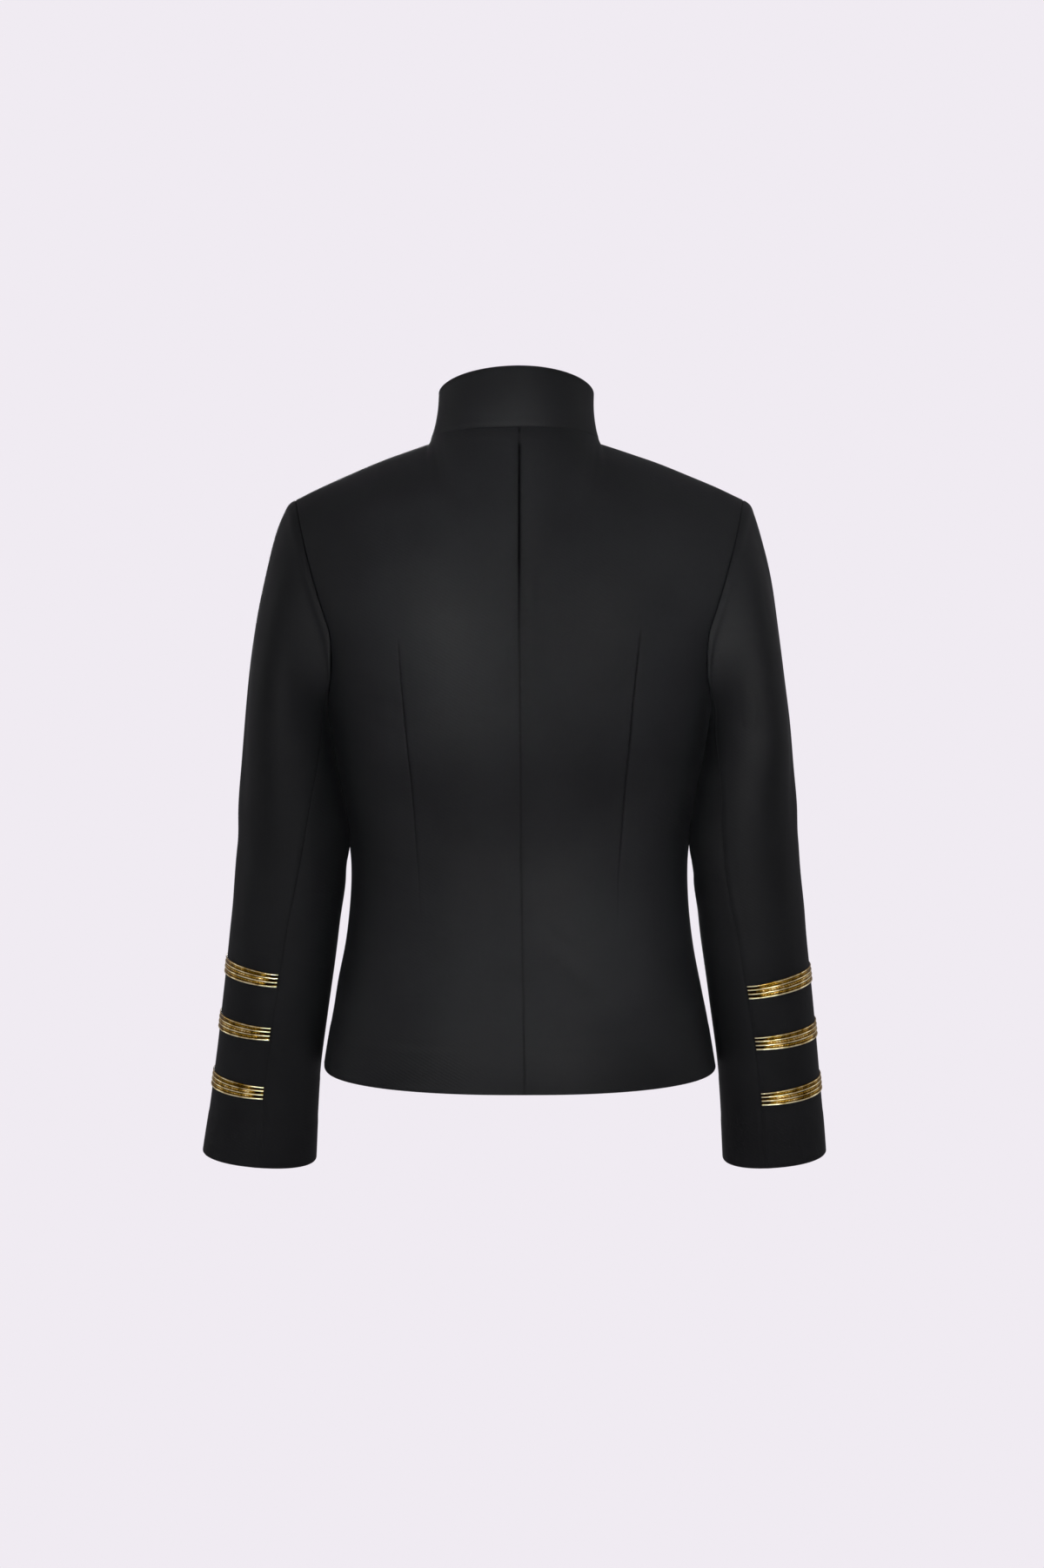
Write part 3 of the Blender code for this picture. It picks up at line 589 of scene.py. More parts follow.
# Creases: from one place to another, how far the line bows, width, leaning to one side, height. On the
# trunk across is x, on a top sleeve it is the way round from the fore-arm seam and on an under sleeve from
# the hind-arm seam.
CREASE_COLUMNS = "across height to_across to_height bow wide lean high"
CREASES = {
    "back_left": [
        (150, -232, 92, -262, 5, 11, 0.3, -0.9),
        (146, -214, 100, -226, 4, 9, -0.3, 0.7),
        (136, -372, 62, -389, -4, 12, 0.2, -0.8),
        (126, -402, 40, -413, 3, 14, -0.3, 0.7),
        (40, -392, 96, -470, 10, 17, 0.3, 0.8),
        (64, -60, 150, -92, -8, 16, 0.2, -0.6),
        (20, -120, 74, -72, 9, 22, 0.0, 0.6),
        (112, -440, 92, -545, -6, 20, 0.2, -1.3),
        (60, -455, 44, -560, 4, 22, 0.2, 1.0),
    ],
    "back_right": [
        (-11.5, -58, -12.5, -242, 1.5, 7, 0.4, -1.2),
        (-13, -414, -62, -450, 6, 10, 0.4, 0.7),
        (-32, -454, -78, -498, 5, 10, 0.4, 0.7),
        (-22, -436, -70, -474, 5, 9, -0.2, -0.5),
        (-152, -226, -96, -258, -5, 12, 0.3, -0.9),
        (-138, -380, -58, -398, 4, 12, 0.2, -0.8),
        (-60, -64, -148, -90, 8, 16, 0.2, -0.6),
        (-104, -430, -92, -540, 5, 20, 0.2, -1.2),
        (-54, -470, -40, -560, -4, 20, 0.2, 0.8),
    ],
    "front_left": [
        (96, -214, 148, -176, 6, 11, 0.3, -1.3),
        (100, -236, 156, -206, 5, 10, -0.3, 0.9),
        (92, -286, 150, -330, -7, 13, 0.3, -1.2),
        (30, -352, 84, -366, 4, 11, 0.2, -0.9),
        (100, -378, 148, -394, -4, 11, 0.2, -0.9),
        (34, -74, 92, -120, 7, 18, 0.2, -0.9),
        (70, -410, 96, -530, -5, 20, 0.3, 1.3),
        (110, -440, 124, -550, 4, 18, 0.2, -1.2),
        (36, -430, 28, -540, 3, 18, 0.0, -0.7),
    ],
    "front_right": [
        (-94, -212, -146, -170, -6, 12, 0.3, -1.2),
        (-104, -240, -152, -214, -4, 10, -0.3, 0.8),
        (-94, -282, -148, -322, 6, 13, 0.3, -1.1),
        (-36, -346, -90, -360, -4, 12, 0.2, -0.9),
        (-102, -384, -150, -398, 3, 11, 0.2, -0.8),
        (-36, -70, -96, -116, -8, 18, 0.2, -0.8),
        (-62, -404, -88, -534, 6, 20, 0.3, 1.2),
        (-112, -446, -128, -548, -4, 18, 0.2, -1.1),
        (-30, -440, -24, -544, -3, 16, 0.0, -0.6),
    ],
    "sleeve_top_left": [
        (150, -92, 156, -330, 6, 12, 0.3, -1.2),
        (120, -72, 118, -300, -5, 14, -0.2, 0.9),
        (34, -366, 92, -398, -7, 10, 0.4, -1.6),
        (24, -398, 84, -416, -5, 9, 0.3, -1.3),
        (30, -384, 90, -408, -6, 8, -0.3, 0.9),
        (70, -330, 120, -352, -6, 13, 0.2, -0.9),
        (40, -150, 66, -232, 6, 13, 0.3, -1.1),
        (128, -430, 140, -470, 3, 12, 0.2, -0.6),
    ],
    "sleeve_top_right": [
        (158, -104, 150, -342, -5, 11, 0.3, -1.5),
        (134, -86, 130, -330, 5, 12, -0.2, 1.0),
        (36, -372, 96, -402, -7, 10, 0.4, -1.5),
        (22, -404, 80, -420, -4, 9, 0.3, -1.2),
        (32, -390, 92, -413, -5, 8, -0.3, 0.9),
        (66, -322, 124, -346, -6, 13, 0.2, -0.9),
        (38, -158, 62, -240, 6, 13, 0.3, -1.0),
        (120, -436, 136, -468, 3, 12, 0.2, -0.6),
    ],
    "sleeve_under_left": [
        (14, -368, 92, -386, 5, 10, 0.3, -1.2),
        (8, -402, 70, -414, 4, 9, -0.3, -1.0),
        (56, -440, 46, -600, 4, 15, 0.2, -0.8),
    ],
    "sleeve_under_right": [
        (16, -372, 90, -392, 5, 10, 0.3, -1.2),
        (10, -408, 72, -418, 4, 9, -0.3, -1.0),
        (54, -436, 48, -604, -4, 15, 0.2, -0.8),
    ],
}

# How deep the centre back seam is pressed, by the distance below the collar
CENTRE_SEAM = table(
    "below deep",
    [(0, 0.5), (5, 0.6), (8, 0.15), (16, 0.15), (20, 1.15), (120, 1.05), (190, 0.45), (400, 0.3),
     (600, 0.32)],
)

# How deep the hind-arm seams are pressed
HIND_SEAM = table(
    "height deep", [(-700, 0.04), (-600, 0.06), (-480, 0.2), (-260, 0.3), (-120, 0.4), (0, 0.4)]
)

# Where a sleeve lies against the trunk: how far the soft cloth of each reaches out to meet the other
CONTACT = table(
    "height sleeve trunk",
    [(-385, 0, 0), (-370, 0.6, 0.2), (-357, 2.2, 0.8), (-345, 3.0, 1.2), (-320, 2.2, 0.9), (-301, 1.8, 0.7),
     (-278, 1.1, 0.4), (-263, 1.6, 0.6), (-240, 1.4, 0.5), (-222, 0, 0)],
)
CONTACT_POWER = 4


def stepped(long, cell=CELL):
    """Places from 0 to 1 along a length, close together next to both ends."""
    near = np.array(SEAM_STEPS)
    count = max(2, round((long - 2 * near[-1]) / cell))
    inner = np.linspace(near[-1], long - near[-1], count + 1)[1:-1]
    return np.concatenate((near, inner, long - near[::-1])) / long


def rows_of(lengths, power):
    """Places up a piece: whole numbers between its parts, the last part slowed as its rise is quickened."""
    ends = np.concatenate(([0.0], np.cumsum(lengths)))
    t = np.interp(stepped(ends[-1]) * ends[-1], ends, np.arange(len(ends)))
    last = len(lengths) - 1
    high = np.clip(t - last, 0, 1)
    return np.where(t > last, last + 1 - (1 - high) ** (1 / power), t)


def reach_in(grid, axis):
    """Distance of each point from the first and from the last edge, measured over the cloth."""
    step = np.linalg.norm(np.diff(grid, axis=axis), axis=-1)
    start = np.zeros_like(np.take(step, [0], axis))
    far = np.concatenate((start, np.cumsum(step, axis)), axis)
    return far, np.take(far, [-1], axis) - far


def outwards(grid, turn):
    """Direction that the outer face of the cloth looks in, at each point."""
    normal = np.cross(np.gradient(grid, axis=1), np.gradient(grid, axis=0)) * turn
    return normal / np.linalg.norm(normal, axis=-1)[..., None]


def groove(far, deep, wide=SEAM_WIDE):
    """Line of a seam: the cloth dips into it from one side."""
    return -deep * np.clip(1 - far / wide, 0, 1) ** SEAM_POWER


def roll(far, name, share=1.0):
    """Soft roll, or pressed-in line, that runs along a seam or an edge."""
    high, place, wide = ROLLS[name]
    return high * share * np.exp(-(((far - place) / wide) ** 2))


def rounded(far, half):
    """Folded edge: how far each face draws in."""
    u = np.clip(1 - far / half, 0, 1)
    return half * (1 - np.sqrt(1 - u**2))


def folded(far):
    """What a folded edge takes off the outer face."""
    return FOLD_SHARE * rounded(far, FOLD_OUTER)


def folded_inside(far):
    """What a folded edge takes off the inner face."""
    return np.minimum(rounded(far, FOLD_INNER), FOLD_MOST)


def turned_up(far):
    """Folded edge with the turned-up cloth behind it, felt as a slightly thicker band."""
    return TURN_UP_THICK * (1 - ramp((far - TURN_UP) / TURN_UP_FADE)) - folded(far)


def crease(name, across, height):
    """Soft ridges and troughs, fading out at both ends."""
    out = np.zeros(np.broadcast(across, height).shape)
    for x, z, to_x, to_z, bow, wide, lean, high in zip(*table(CREASE_COLUMNS, CREASES[name]).values()):
        run_x, run_z = to_x - x, to_z - z
        long = math.hypot(run_x, run_z)
        along = ((across - x) * run_x + (height - z) * run_z) / long**2
        off = ((height - z) * run_x - (across - x) * run_z) / long
        on = np.clip(along, 0, 1)
        off = off - bow * 4 * on * (1 - on)
        spread = wide * (CREASE_START + CREASE_WIDENS * on) * np.where(off > 0, 1 + lean, 1 - lean)
        out = out + high * np.sin(math.pi * on) ** CREASE_POWER * np.exp(-((off / spread) ** 2))
    return out


def uneven(place, seed, wave=WOOL_WAVE):
    """Slight unevenness of pressed wool: a few long waves that run in unlike directions."""
    size, high = wave
    draw = np.random.default_rng(seed)
    out = np.zeros(place.shape[:-1])
    for _ in range(WAVES):
        way = draw.normal(size=3)
        way = way / np.linalg.norm(way) / (size * draw.uniform(*WAVE_RANGE))
        out = out + np.sin(2 * math.pi * (place @ way) + draw.uniform(0, 2 * math.pi))
    return out * high


def meeting(grid, turn, towards, part):
    """Swell of a sleeve or of the trunk where they lie against each other."""
    facing = np.clip(outwards(grid, turn)[..., 0] * towards, 0, 1) ** CONTACT_POWER
    return np.interp(grid[..., 2], CONTACT["height"], CONTACT[part]) * facing


def plain_side(grid):
    """How much of the collar's seam shows, by the place round the neck."""
    wide = ramp((np.abs(grid[..., 0]) - PRESSED_FROM) / PRESSED_FADE)
    return 1 - PRESSED_OVER * wide * ramp(grid[..., 1] / PRESSED_BEHIND)


def even_places(kind, places):
    """Places across a sleeve piece that lie evenly round the arm."""
    even = np.linspace(0, 1, EASE_STEPS)
    return np.interp(places, ease(even, SEAM_EASE[kind]), even)


def mesh_piece(name, solid, verts, faces, look):
    """Object of its own that stands for a solid."""
    mesh = bpy.data.meshes.new(name)
    mesh.from_pydata(verts * MM, [], faces)
    mesh.polygons.foreach_set("use_smooth", np.ones(len(mesh.polygons), bool))
    mesh.update()
    piece = bpy.data.objects.new(name, mesh)
    piece.data.materials.append(look)
    bpy.context.scene.collection.objects.link(piece)
    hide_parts(solid)
    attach(piece, "root")
    return piece


def quads(index, turn):
    """Faces of a grid of points, facing out."""
    corners = (index[:-1, :-1], index[:-1, 1:], index[1:, 1:], index[1:, :-1])
    if turn < 0:
        corners = corners[::-1]
    return np.stack([c.ravel() for c in corners], -1)


def around(index):
    """The edge of a grid of points, once round."""
    return np.concatenate((index[0, :-1], index[:-1, -1], index[-1, :0:-1], index[:0:-1, 0]))


def let_out(grid, foot=MEET):
    """The edges run on to those of the next piece, so that no light comes through a seam."""
    grid = grid.copy()
    ends = ((grid[0], grid[1], foot), (grid[-1], grid[-2], MEET))
    sides = ((grid[:, 0], grid[:, 1], MEET), (grid[:, -1], grid[:, -2], MEET))
    for edge, near, far in ends + sides:
        way = edge - near
        edge += way / np.linalg.norm(way, axis=-1)[:, None] * far
    return grid


def cloth(solid, grid, turn, high, seams, inner, wall=WALL, foot=MEET):
    """Closed thin shell: the outer face has the creases and the seams, the inner one is plain. Along the
    seams the outer face also carries a painted shade, darker where the seam dips deeper.
    """
    out = outwards(grid, turn)
    grid = let_out(grid, foot)
    sunk = np.minimum.reduce(np.broadcast_arrays(*seams))
    face = grid + out * (high + sunk)[..., None]
    back = grid - out * (wall - inner)[..., None]
    count = grid.shape[0] * grid.shape[1]
    index = np.arange(count).reshape(grid.shape[:2])
    ring = around(index)
    follow = np.roll(ring, -1)
    rim = np.stack((follow, ring, ring + count, follow + count), -1)
    if turn < 0:
        rim = rim[:, ::-1]
    faces = np.concatenate((quads(index, turn), quads(index + count, -turn), rim))
    verts = np.concatenate((face.reshape(-1, 3), back.reshape(-1, 3)))
    piece = mesh_piece(solid + "_cloth", solid, verts, faces.tolist(), WOOL)
    # Painted shade of the seams: how deep each point lies in a seam's dip, read by the wool's colour
    shade = np.concatenate((np.clip(-sunk / SEAM_FULL, 0, 1).ravel(), np.zeros(count)))
    piece.data.attributes.new("painted_seam_shade", "FLOAT", "POINT").data.foreach_set("value", shade)
    return piece


def dart_columns(tag, side, dart, t):
    """Places across a quarter of the trunk, with one column along the dart, and that column's number."""
    search = np.linspace(0, 1, DART_SEARCH)
    rough = panel(tag, side, search[None, :], t)
    off = rough[..., 0] * side - np.interp(rough[..., 2], dart["height"], dart["across"])
    on = np.array([np.interp(0.0, off[row], search) for row in range(len(t))])[:, None]
    middle = float(np.mean(on))
    first = stepped(PANEL_WIDE * middle)
    second = stepped(PANEL_WIDE * (1 - middle))
    s = np.concatenate((first[None, :] * on, (on + second[None, 1:] * (1 - on))), axis=1)
    return s, len(first) - 1


def trunk_piece(tag, side):
    """One quarter of the trunk, with its dart, seams, hem and creases."""
    name = tag + "_" + SIDES[side]["name"]
    dart = DARTS[name]
    t = rows_of(PANEL_LONG, RISE_POWER)[:, None]
    s, fold = dart_columns(tag, side, dart, t)
    grid = panel(tag, side, s, t)
    turn = -side if tag == "back" else side
    across, height = grid[..., 0], grid[..., 2]
    centre, outer = reach_in(grid, 1)
    hem, top = reach_in(grid, 0)
    neck = s <= (NECK_SHARE_BACK if tag == "back" else NECK_SHARE_FRONT)
    by_dart = np.abs(centre - centre[:, fold : fold + 1])
    high = turned_up(hem) + crease(name, across, height) + meeting(grid, turn, side, "trunk")
    calm = ramp(np.minimum(centre, outer) / TRUNK_CALM) * ramp(top / TRUNK_CALM)
    high = high + uneven(grid, TRUNK_SEED + 2 * side + (tag == "back")) * calm
    sewn = np.interp(height, dart["height"], dart["deep"])
    high = high + roll(by_dart, "dart", sewn)
    top_seam = np.where(neck, NECK_SEAM * plain_side(grid), TOP_SEAM)
    seams = [groove(by_dart, sewn, DART_WIDE), groove(outer, SIDE_SEAM), groove(top, top_seam)]
    high = high + np.where(t <= 1, roll(outer, "side seam"), 0)
    inner = folded_inside(hem)
    if tag == "back":
        pressed = np.interp(top, CENTRE_SEAM["below"], CENTRE_SEAM["deep"])
        seams.append(groove(centre, pressed, CENTRE_WIDE))
        high = high + roll(centre, "centre seam", pressed)
        facing = np.where(neck, ramp((FACING_HALF - np.abs(across)) / FACING_FADE), 0)
        high = high + roll(top, "neck facing") * facing
    else:
        high = high - folded(centre)
        high = high + roll(centre, "front stitching") * ramp((top - STITCH_START) / STITCH_START)
        inner = np.maximum(inner, folded_inside(centre))
    piece = cloth(name, grid, turn, high, seams, inner)


def sleeve_height(kind, side, v, grid):
    """What the creases and the unevenness add to a sleeve piece."""
    name = "sleeve_" + kind + "_" + SIDES[side]["name"]
    height = grid[..., 2]
    calm = ramp((height - CUFF - SMOOTH_LONG) / SMOOTH_FADE)
    waves = uneven(grid, SLEEVE_SEED + side) * (SMOOTH_UNEVEN + (1 - SMOOTH_UNEVEN) * calm)
    return crease(name, v * SLEEVE_WIDE[kind], height) * calm + waves


def sleeve_piece(kind, side):
    """Top or under sleeve, with its seams, turned-up cuff and creases."""
    name = "sleeve_" + kind + "_" + SIDES[side]["name"]
    t = rows_of(SLEEVE_LONG, CAP_RISE_POWER)[:, None]
    v = even_places(kind, stepped(SLEEVE_WIDE[kind]))[None, :]
    grid = sleeve(kind, side, v, t)
    first, last = reach_in(grid, 1)
    cuff, top = reach_in(grid, 0)
    calm = ramp(np.minimum(first, last) / SLEEVE_CALM) * ramp(top / TRUNK_CALM)
    high = sleeve_height(kind, side, v, grid) * calm + turned_up(cuff) + meeting(grid, side, -side, "sleeve")
    hind, fore = (last, first) if kind == "top" else (first, last)
    sewn = np.interp(grid[..., 2], HIND_SEAM["height"], HIND_SEAM["deep"])
    seams = (groove(hind, sewn), groove(fore, FORE_SEAM), groove(top, TOP_SEAM))
    high = high + roll(hind, "hind seam of " + kind)
    if kind == "top":
        high = high + roll(top, "sleeve head")
    piece = cloth(name, grid, side, high, seams, folded_inside(cuff))


def collar_piece():
    """Stand collar, with its rounded edge and the seam at its foot."""
    s = stepped(COLLAR_LONG)[None, :]
    t = stepped(COLLAR_HIGH, COLLAR_CELL)[:, None]
    grid = collar(*np.broadcast_arrays(s, t))
    first, last = reach_in(grid, 1)
    foot, top = reach_in(grid, 0)
    ends = np.minimum(first, last)
    half = COLLAR_WALL / 2
    edge = np.maximum(rounded(top, half), rounded(ends, half))
    high = roll(foot, "collar foot") - COLLAR_FOLD_SHARE * edge
    high = high + uneven(grid, COLLAR_SEED, COLLAR_WAVE) * ramp(np.minimum(top, ends) / COLLAR_CALM)
    inner = np.minimum(edge, half * COLLAR_FOLD_SHARE)
    seams = [groove(foot, NECK_SEAM * plain_side(grid))]
    piece = cloth("collar", grid, 1, high, seams, inner, COLLAR_WALL, COLLAR_MEET)


# ---------------------------------------------------------------- braids and buttons

# Braid: size of a cell of its mesh along and across, thickness under the cords, place on the sleeve piece
BRAID_CELL = 0.42
BRAID_LINES = 43
BRAID_EDGE = 0.05
BRAID_FLAT = 0.12
BRAID_SEAT = 0.15
BRAID_FROM_TO = (0.006, 0.994)
BRAID_HALF = 7.4
BRAID_NARROWED = 0.2
NARROWED_FROM = 0.6

# Plies of a twisted cord: length of one turn, slant across the cord, depth of the furrow between two
PLY_PITCH = 2.6
PLY_SLANT = 2.4
PLY_DEEP = 0.32
CORD_START = 3.0
CORD_START_LONG = 12.0

# Painted highlight: the crests of the highest cords are painted brighter near both ends of a braid, and the
# highest crests are painted brightest
END_HIGHLIGHT_LONG = 16.0
END_HIGHLIGHT = 0.35
HIGHLIGHT_CREST = 0.8
BRIGHTEST = 1.6

# Cords laid side by side across a braid: middle, half width, how far they stand up, how deep they are
# twisted. The twisted cords between the four plain ones begin some way from the ends, and each slants the
# other way than the next.
CORDS = table(
    "across half high twist",
    [(-6.2, 0.95, 1.35, 0), (-3.95, 1.2, 0.9, 0.9), (-1.75, 0.8, 1.35, 0), (0.45, 1.25, 1.0, 0.9),
     (2.65, 0.75, 1.35, 0), (4.65, 1.1, 0.75, 0.7), (6.55, 0.8, 1.15, 0)],
)


def braid_profile(across, along, left):
    """Height of the cords over the flat braid."""
    high = np.full(np.broadcast(across, along).shape, BRAID_FLAT)
    begun = ramp((np.minimum(along, left) - CORD_START) / CORD_START_LONG)
    for number, (middle, half, tall, twist) in enumerate(zip(*CORDS.values())):
        u = (across - middle) / half
        turn = 2 * math.pi * along / PLY_PITCH + PLY_SLANT * u * (1 if number % 4 == 1 else -1)
        cut = 1 - PLY_DEEP * twist * (0.5 + 0.5 * np.cos(turn)) ** 3
        if twist > 0:
            cut = cut * begun
        high = np.maximum(high, tall * np.sqrt(np.clip(1 - u**2, 0, 1)) * cut)
    return high


def build_braid(side, number):
    """Braid on a top sleeve: it follows the cloth, creases and all, from seam to seam."""
    solid = "braid_" + SIDES[side]["name"] + "_" + str(number + 1)
    long = (BICEP - CUFF) / math.cos(math.radians(SLEEVE_LEAN_DEG))
    count = round(SLEEVE_WIDE["top"] / BRAID_CELL)
    v = even_places("top", np.linspace(*BRAID_FROM_TO, count + 1))
    half = BRAID_HALF - BRAID_EDGE
    across = np.concatenate(([-BRAID_HALF], np.linspace(-half, half, BRAID_LINES), [BRAID_HALF]))
    level, rise = BRAIDS[side]["level"][number], BRAIDS[side]["rise"][number]
    rise = rise * np.sin(math.pi * v) ** 2
    narrow = BRAID_NARROWED * ramp((v - NARROWED_FROM) / (1 - NARROWED_FROM))
    taken = narrow[None, :] * (BRAID_HALF - across[:, None])
    t = (level + rise[None, :] + across[:, None] + taken) / long
    wide = np.broadcast_to(v[None, :], t.shape)
    grid = sleeve("top", side, wide, t)
    out = outwards(grid, side)
    begin, end = reach_in(grid, 1)
    profile = braid_profile(across[:, None], begin, end)
    profile[[0, -1]] = 0.0
    profile[:, [0, -1]] = 0.0
    seat = sleeve_height("top", side, wide, grid) + BRAID_SEAT
    verts = grid + out * (seat + profile)[..., None]
    index = np.arange(grid.shape[0] * grid.shape[1]).reshape(grid.shape[:2])
    under = np.stack((index[0], index[-1]))
    faces = np.concatenate((quads(index, side), quads(under, -side)))
    piece = mesh_piece(solid + "_wire", solid, verts.reshape(-1, 3), faces.tolist(), GILT_WIRE)
    # Colour of the cords by their height, which carries painted light: painted shade low in the furrows,
    # painted highlight on the crests, stronger near both ends
    tone = piece.data.attributes.new("height_painted_light", "FLOAT", "POINT")
    painted_end_highlight = 1 + END_HIGHLIGHT * (1 - ramp(np.minimum(begin, end) / END_HIGHLIGHT_LONG)) * (profile > HIGHLIGHT_CREST)
    tone.data.foreach_set("value", (profile * painted_end_highlight / BRIGHTEST).ravel())
    close_ends(piece)


def close_ends(piece):
    """Closes both cut ends of a braid."""
    shape = bmesh.new()
    shape.from_mesh(piece.data)
    bmesh.ops.holes_fill(shape, edges=[e for e in shape.edges if e.is_boundary])
    shape.to_mesh(piece.data)
    shape.free()


# Turned profile of a button, from the top of its dome over its rim to its back: distance from its middle
# and height
BUTTON = [(0, 5.0), (1.6, 4.9), (3.4, 4.5), (5.0, 3.75), (6.3, 2.85), (7.2, 2.1), (7.5, 1.8), (7.75, 1.75),
          (8.05, 2.0), (8.5, 2.1), (8.85, 1.8), (9.0, 1.2), (8.85, 0.5), (8.3, 0.0), (6.0, -0.7), (0, -1.1)]
BUTTON_AROUND = 64


def build_buttons():
    """Domed buttons, each square to the front where it is sewn on."""
    s = np.linspace(*LAP_SEARCH)
    t = np.linspace(*HEIGHT_SEARCH)
    front = panel("front", -1, s[None, :], t[:, None])
    for number, level in enumerate(BUTTON_LEVELS):
        far = (np.abs(front[..., 0]) + np.abs(front[..., 2] - level))[1:-1, 1:-1]
        row, column = np.unravel_index(np.argmin(far), far.shape)
        up = front[row + 2, column + 1] - front[row, column + 1]
        across = front[row + 1, column] - front[row + 1, column + 2]
        facing = np.cross(across, up)
        facing = facing / np.linalg.norm(facing)
        level_way = np.cross((0, 0, 1), facing)
        level_way = level_way / np.linalg.norm(level_way)
        rise_way = np.cross(facing, level_way)
        turn = np.arange(BUTTON_AROUND) * 2 * math.pi / BUTTON_AROUND
        ring = np.cos(turn)[:, None] * level_way + np.sin(turn)[:, None] * rise_way
        seat = front[row + 1, column + 1] + facing * BUTTON_LIFT
        rims = [seat + ring * wide + facing * high for wide, high in BUTTON[1:-1]]
        verts = np.concatenate((*rims, [seat + facing * BUTTON[0][1], seat + facing * BUTTON[-1][1]]))
        index = np.arange(len(rims) * BUTTON_AROUND).reshape(len(rims), BUTTON_AROUND)
        index = np.concatenate((index, index[:, :1]), 1)
        faces = quads(index, -1).tolist()
        top, low = len(verts) - 2, len(verts) - 1
        faces += [[a, b, top] for a, b in zip(index[0, :-1], index[0, 1:])]
        faces += [[b, a, low] for a, b in zip(index[-1, :-1], index[-1, 1:])]
        solid = "button_" + str(number + 1)
        mesh_piece(solid + "_gilt", solid, verts, faces, GILT_METAL)


# ---------------------------------------------------------------- materials


def linear(code):
    """Linear colour of an sRGB hex code."""
    values = [int(code[i : i + 2], 16) / 255 for i in (1, 3, 5)]
    return [v / 12.92 if v <= 0.04045 else ((v + 0.055) / 1.055) ** 2.4 for v in values] + [1.0]


def add(tree, kind, settings=(), links=()):
    """Adds a node: settings are its own values or its sockets' values, links run from (node, output)."""
    made = tree.nodes.new("ShaderNode" + kind)
    for key, value in dict(settings).items():
        if isinstance(key, str) and hasattr(made, key):
            setattr(made, key, value)
        else:
            made.inputs[key].default_value = value
    for key, (source, output) in dict(links).items():
        tree.links.new(source.outputs[output], made.inputs[key])
    return made


def new_material(name):
    made = bpy.data.materials.new(name)
    made.use_nodes = True
    return made, made.node_tree, made.node_tree.nodes["Principled BSDF"]


def noise_scale(size):
    """Scale of a noise whose patches are some millimetres across."""
    return 1 / (size * MM)


def wave_scale(apart):
    """Scale of a wave whose lines are some millimetres apart: at scale 1 they are pi / 10 metres apart."""
    return math.pi / 10 / (apart * MM)


# Sockets of a colour mix
MIX_A, MIX_B, MIX_RESULT = 6, 7, 2


def black_wool():
    """Worsted wool, dyed black, milled and pressed: a dry face with a very short nap. The nap gives a soft,
    wide and weak shine, and the steep fine twill under it shows only as a slight grain."""
    made, tree, shader = new_material("black worsted wool")
    place = add(tree, "TexCoord")
    # Uneven dye and pressing, in patches of some 40 mm
    patches = {"Scale": noise_scale(41.67), "Detail": 3.0, "Roughness": 0.55}
    patch = add(tree, "TexNoise", patches, {"Vector": (place, "Object")})
    span = {"From Min": 0.3, "From Max": 0.7}
    tone = add(tree, "MapRange", {**span, "To Min": 0.0, "To Max": 0.55}, {"Value": (patch, "Fac")})
    dull = add(tree, "MapRange", {**span, "To Min": 0.58, "To Max": 0.68}, {"Value": (patch, "Fac")})
    # Twill: its real lines are 0.6 mm apart, which is too fine to show, so they are 2.6 mm apart here
    steep = {"Rotation": (0.0, math.radians(28), 0.0)}
    slant = add(tree, "Mapping", steep, {"Vector": (place, "Object")})
    lines = {"bands_direction": "Z", "Scale": wave_scale(2.575), "Distortion": 1.4}
    lines.update({"Detail": 2.0, "Detail Scale": 2.5})
    twill = add(tree, "TexWave", lines, {"Vector": (slant, "Vector")})
    # Nap: tufts of 0.2 mm in the real cloth, drawn 1.6 mm across with finer detail in them
    tufts = {"Scale": noise_scale(1.613), "Detail": 4.0, "Roughness": 0.65}
    nap = add(tree, "TexNoise", tufts, {"Vector": (place, "Object")})
    grain = add(tree, "Math", {"operation": "MULTIPLY", 1: 0.45}, {0: (nap, "Fac")})
    both = add(tree, "Math", {"operation": "ADD"}, {0: (tone, "Result"), 1: (grain, "Value")})
    dyes = {"data_type": "RGBA", MIX_A: linear("#0d0e0f"), MIX_B: linear("#191a1b")}
    dye = add(tree, "Mix", dyes, {0: (both, "Value")})
    # Seam lines: painted shade where the cloth turns in, darkest where the seam dips deepest, with the shine
    # taken off there too
    line = add(tree, "Attribute", {"attribute_name": "painted_seam_shade"})
    dark = {"data_type": "RGBA", MIX_B: linear("#050506")}
    shaded = add(tree, "Mix", dark, {0: (line, "Fac"), MIX_A: (dye, MIX_RESULT)})
    shine = add(tree, "MapRange", {"To Min": 0.13, "To Max": 0.0}, {"Value": (line, "Fac")})
    weave = add(tree, "Bump", {"Strength": 0.18, "Distance": 0.00012}, {"Height": (twill, "Fac")})
    low = {"Strength": 0.35, "Distance": 0.00016}
    bump = add(tree, "Bump", low, {"Height": (nap, "Fac"), "Normal": (weave, "Normal")})
    tree.links.new(shaded.outputs[MIX_RESULT], shader.inputs["Base Color"])
    tree.links.new(dull.outputs["Result"], shader.inputs["Roughness"])
    tree.links.new(shine.outputs["Result"], shader.inputs["Specular IOR Level"])
    tree.links.new(bump.outputs["Normal"], shader.inputs["Normal"])
    shader.inputs["Sheen Weight"].default_value = 0.02
    shader.inputs["Sheen Roughness"].default_value = 0.45
    shader.inputs["Sheen Tint"].default_value = linear("#8f949c")
    return made


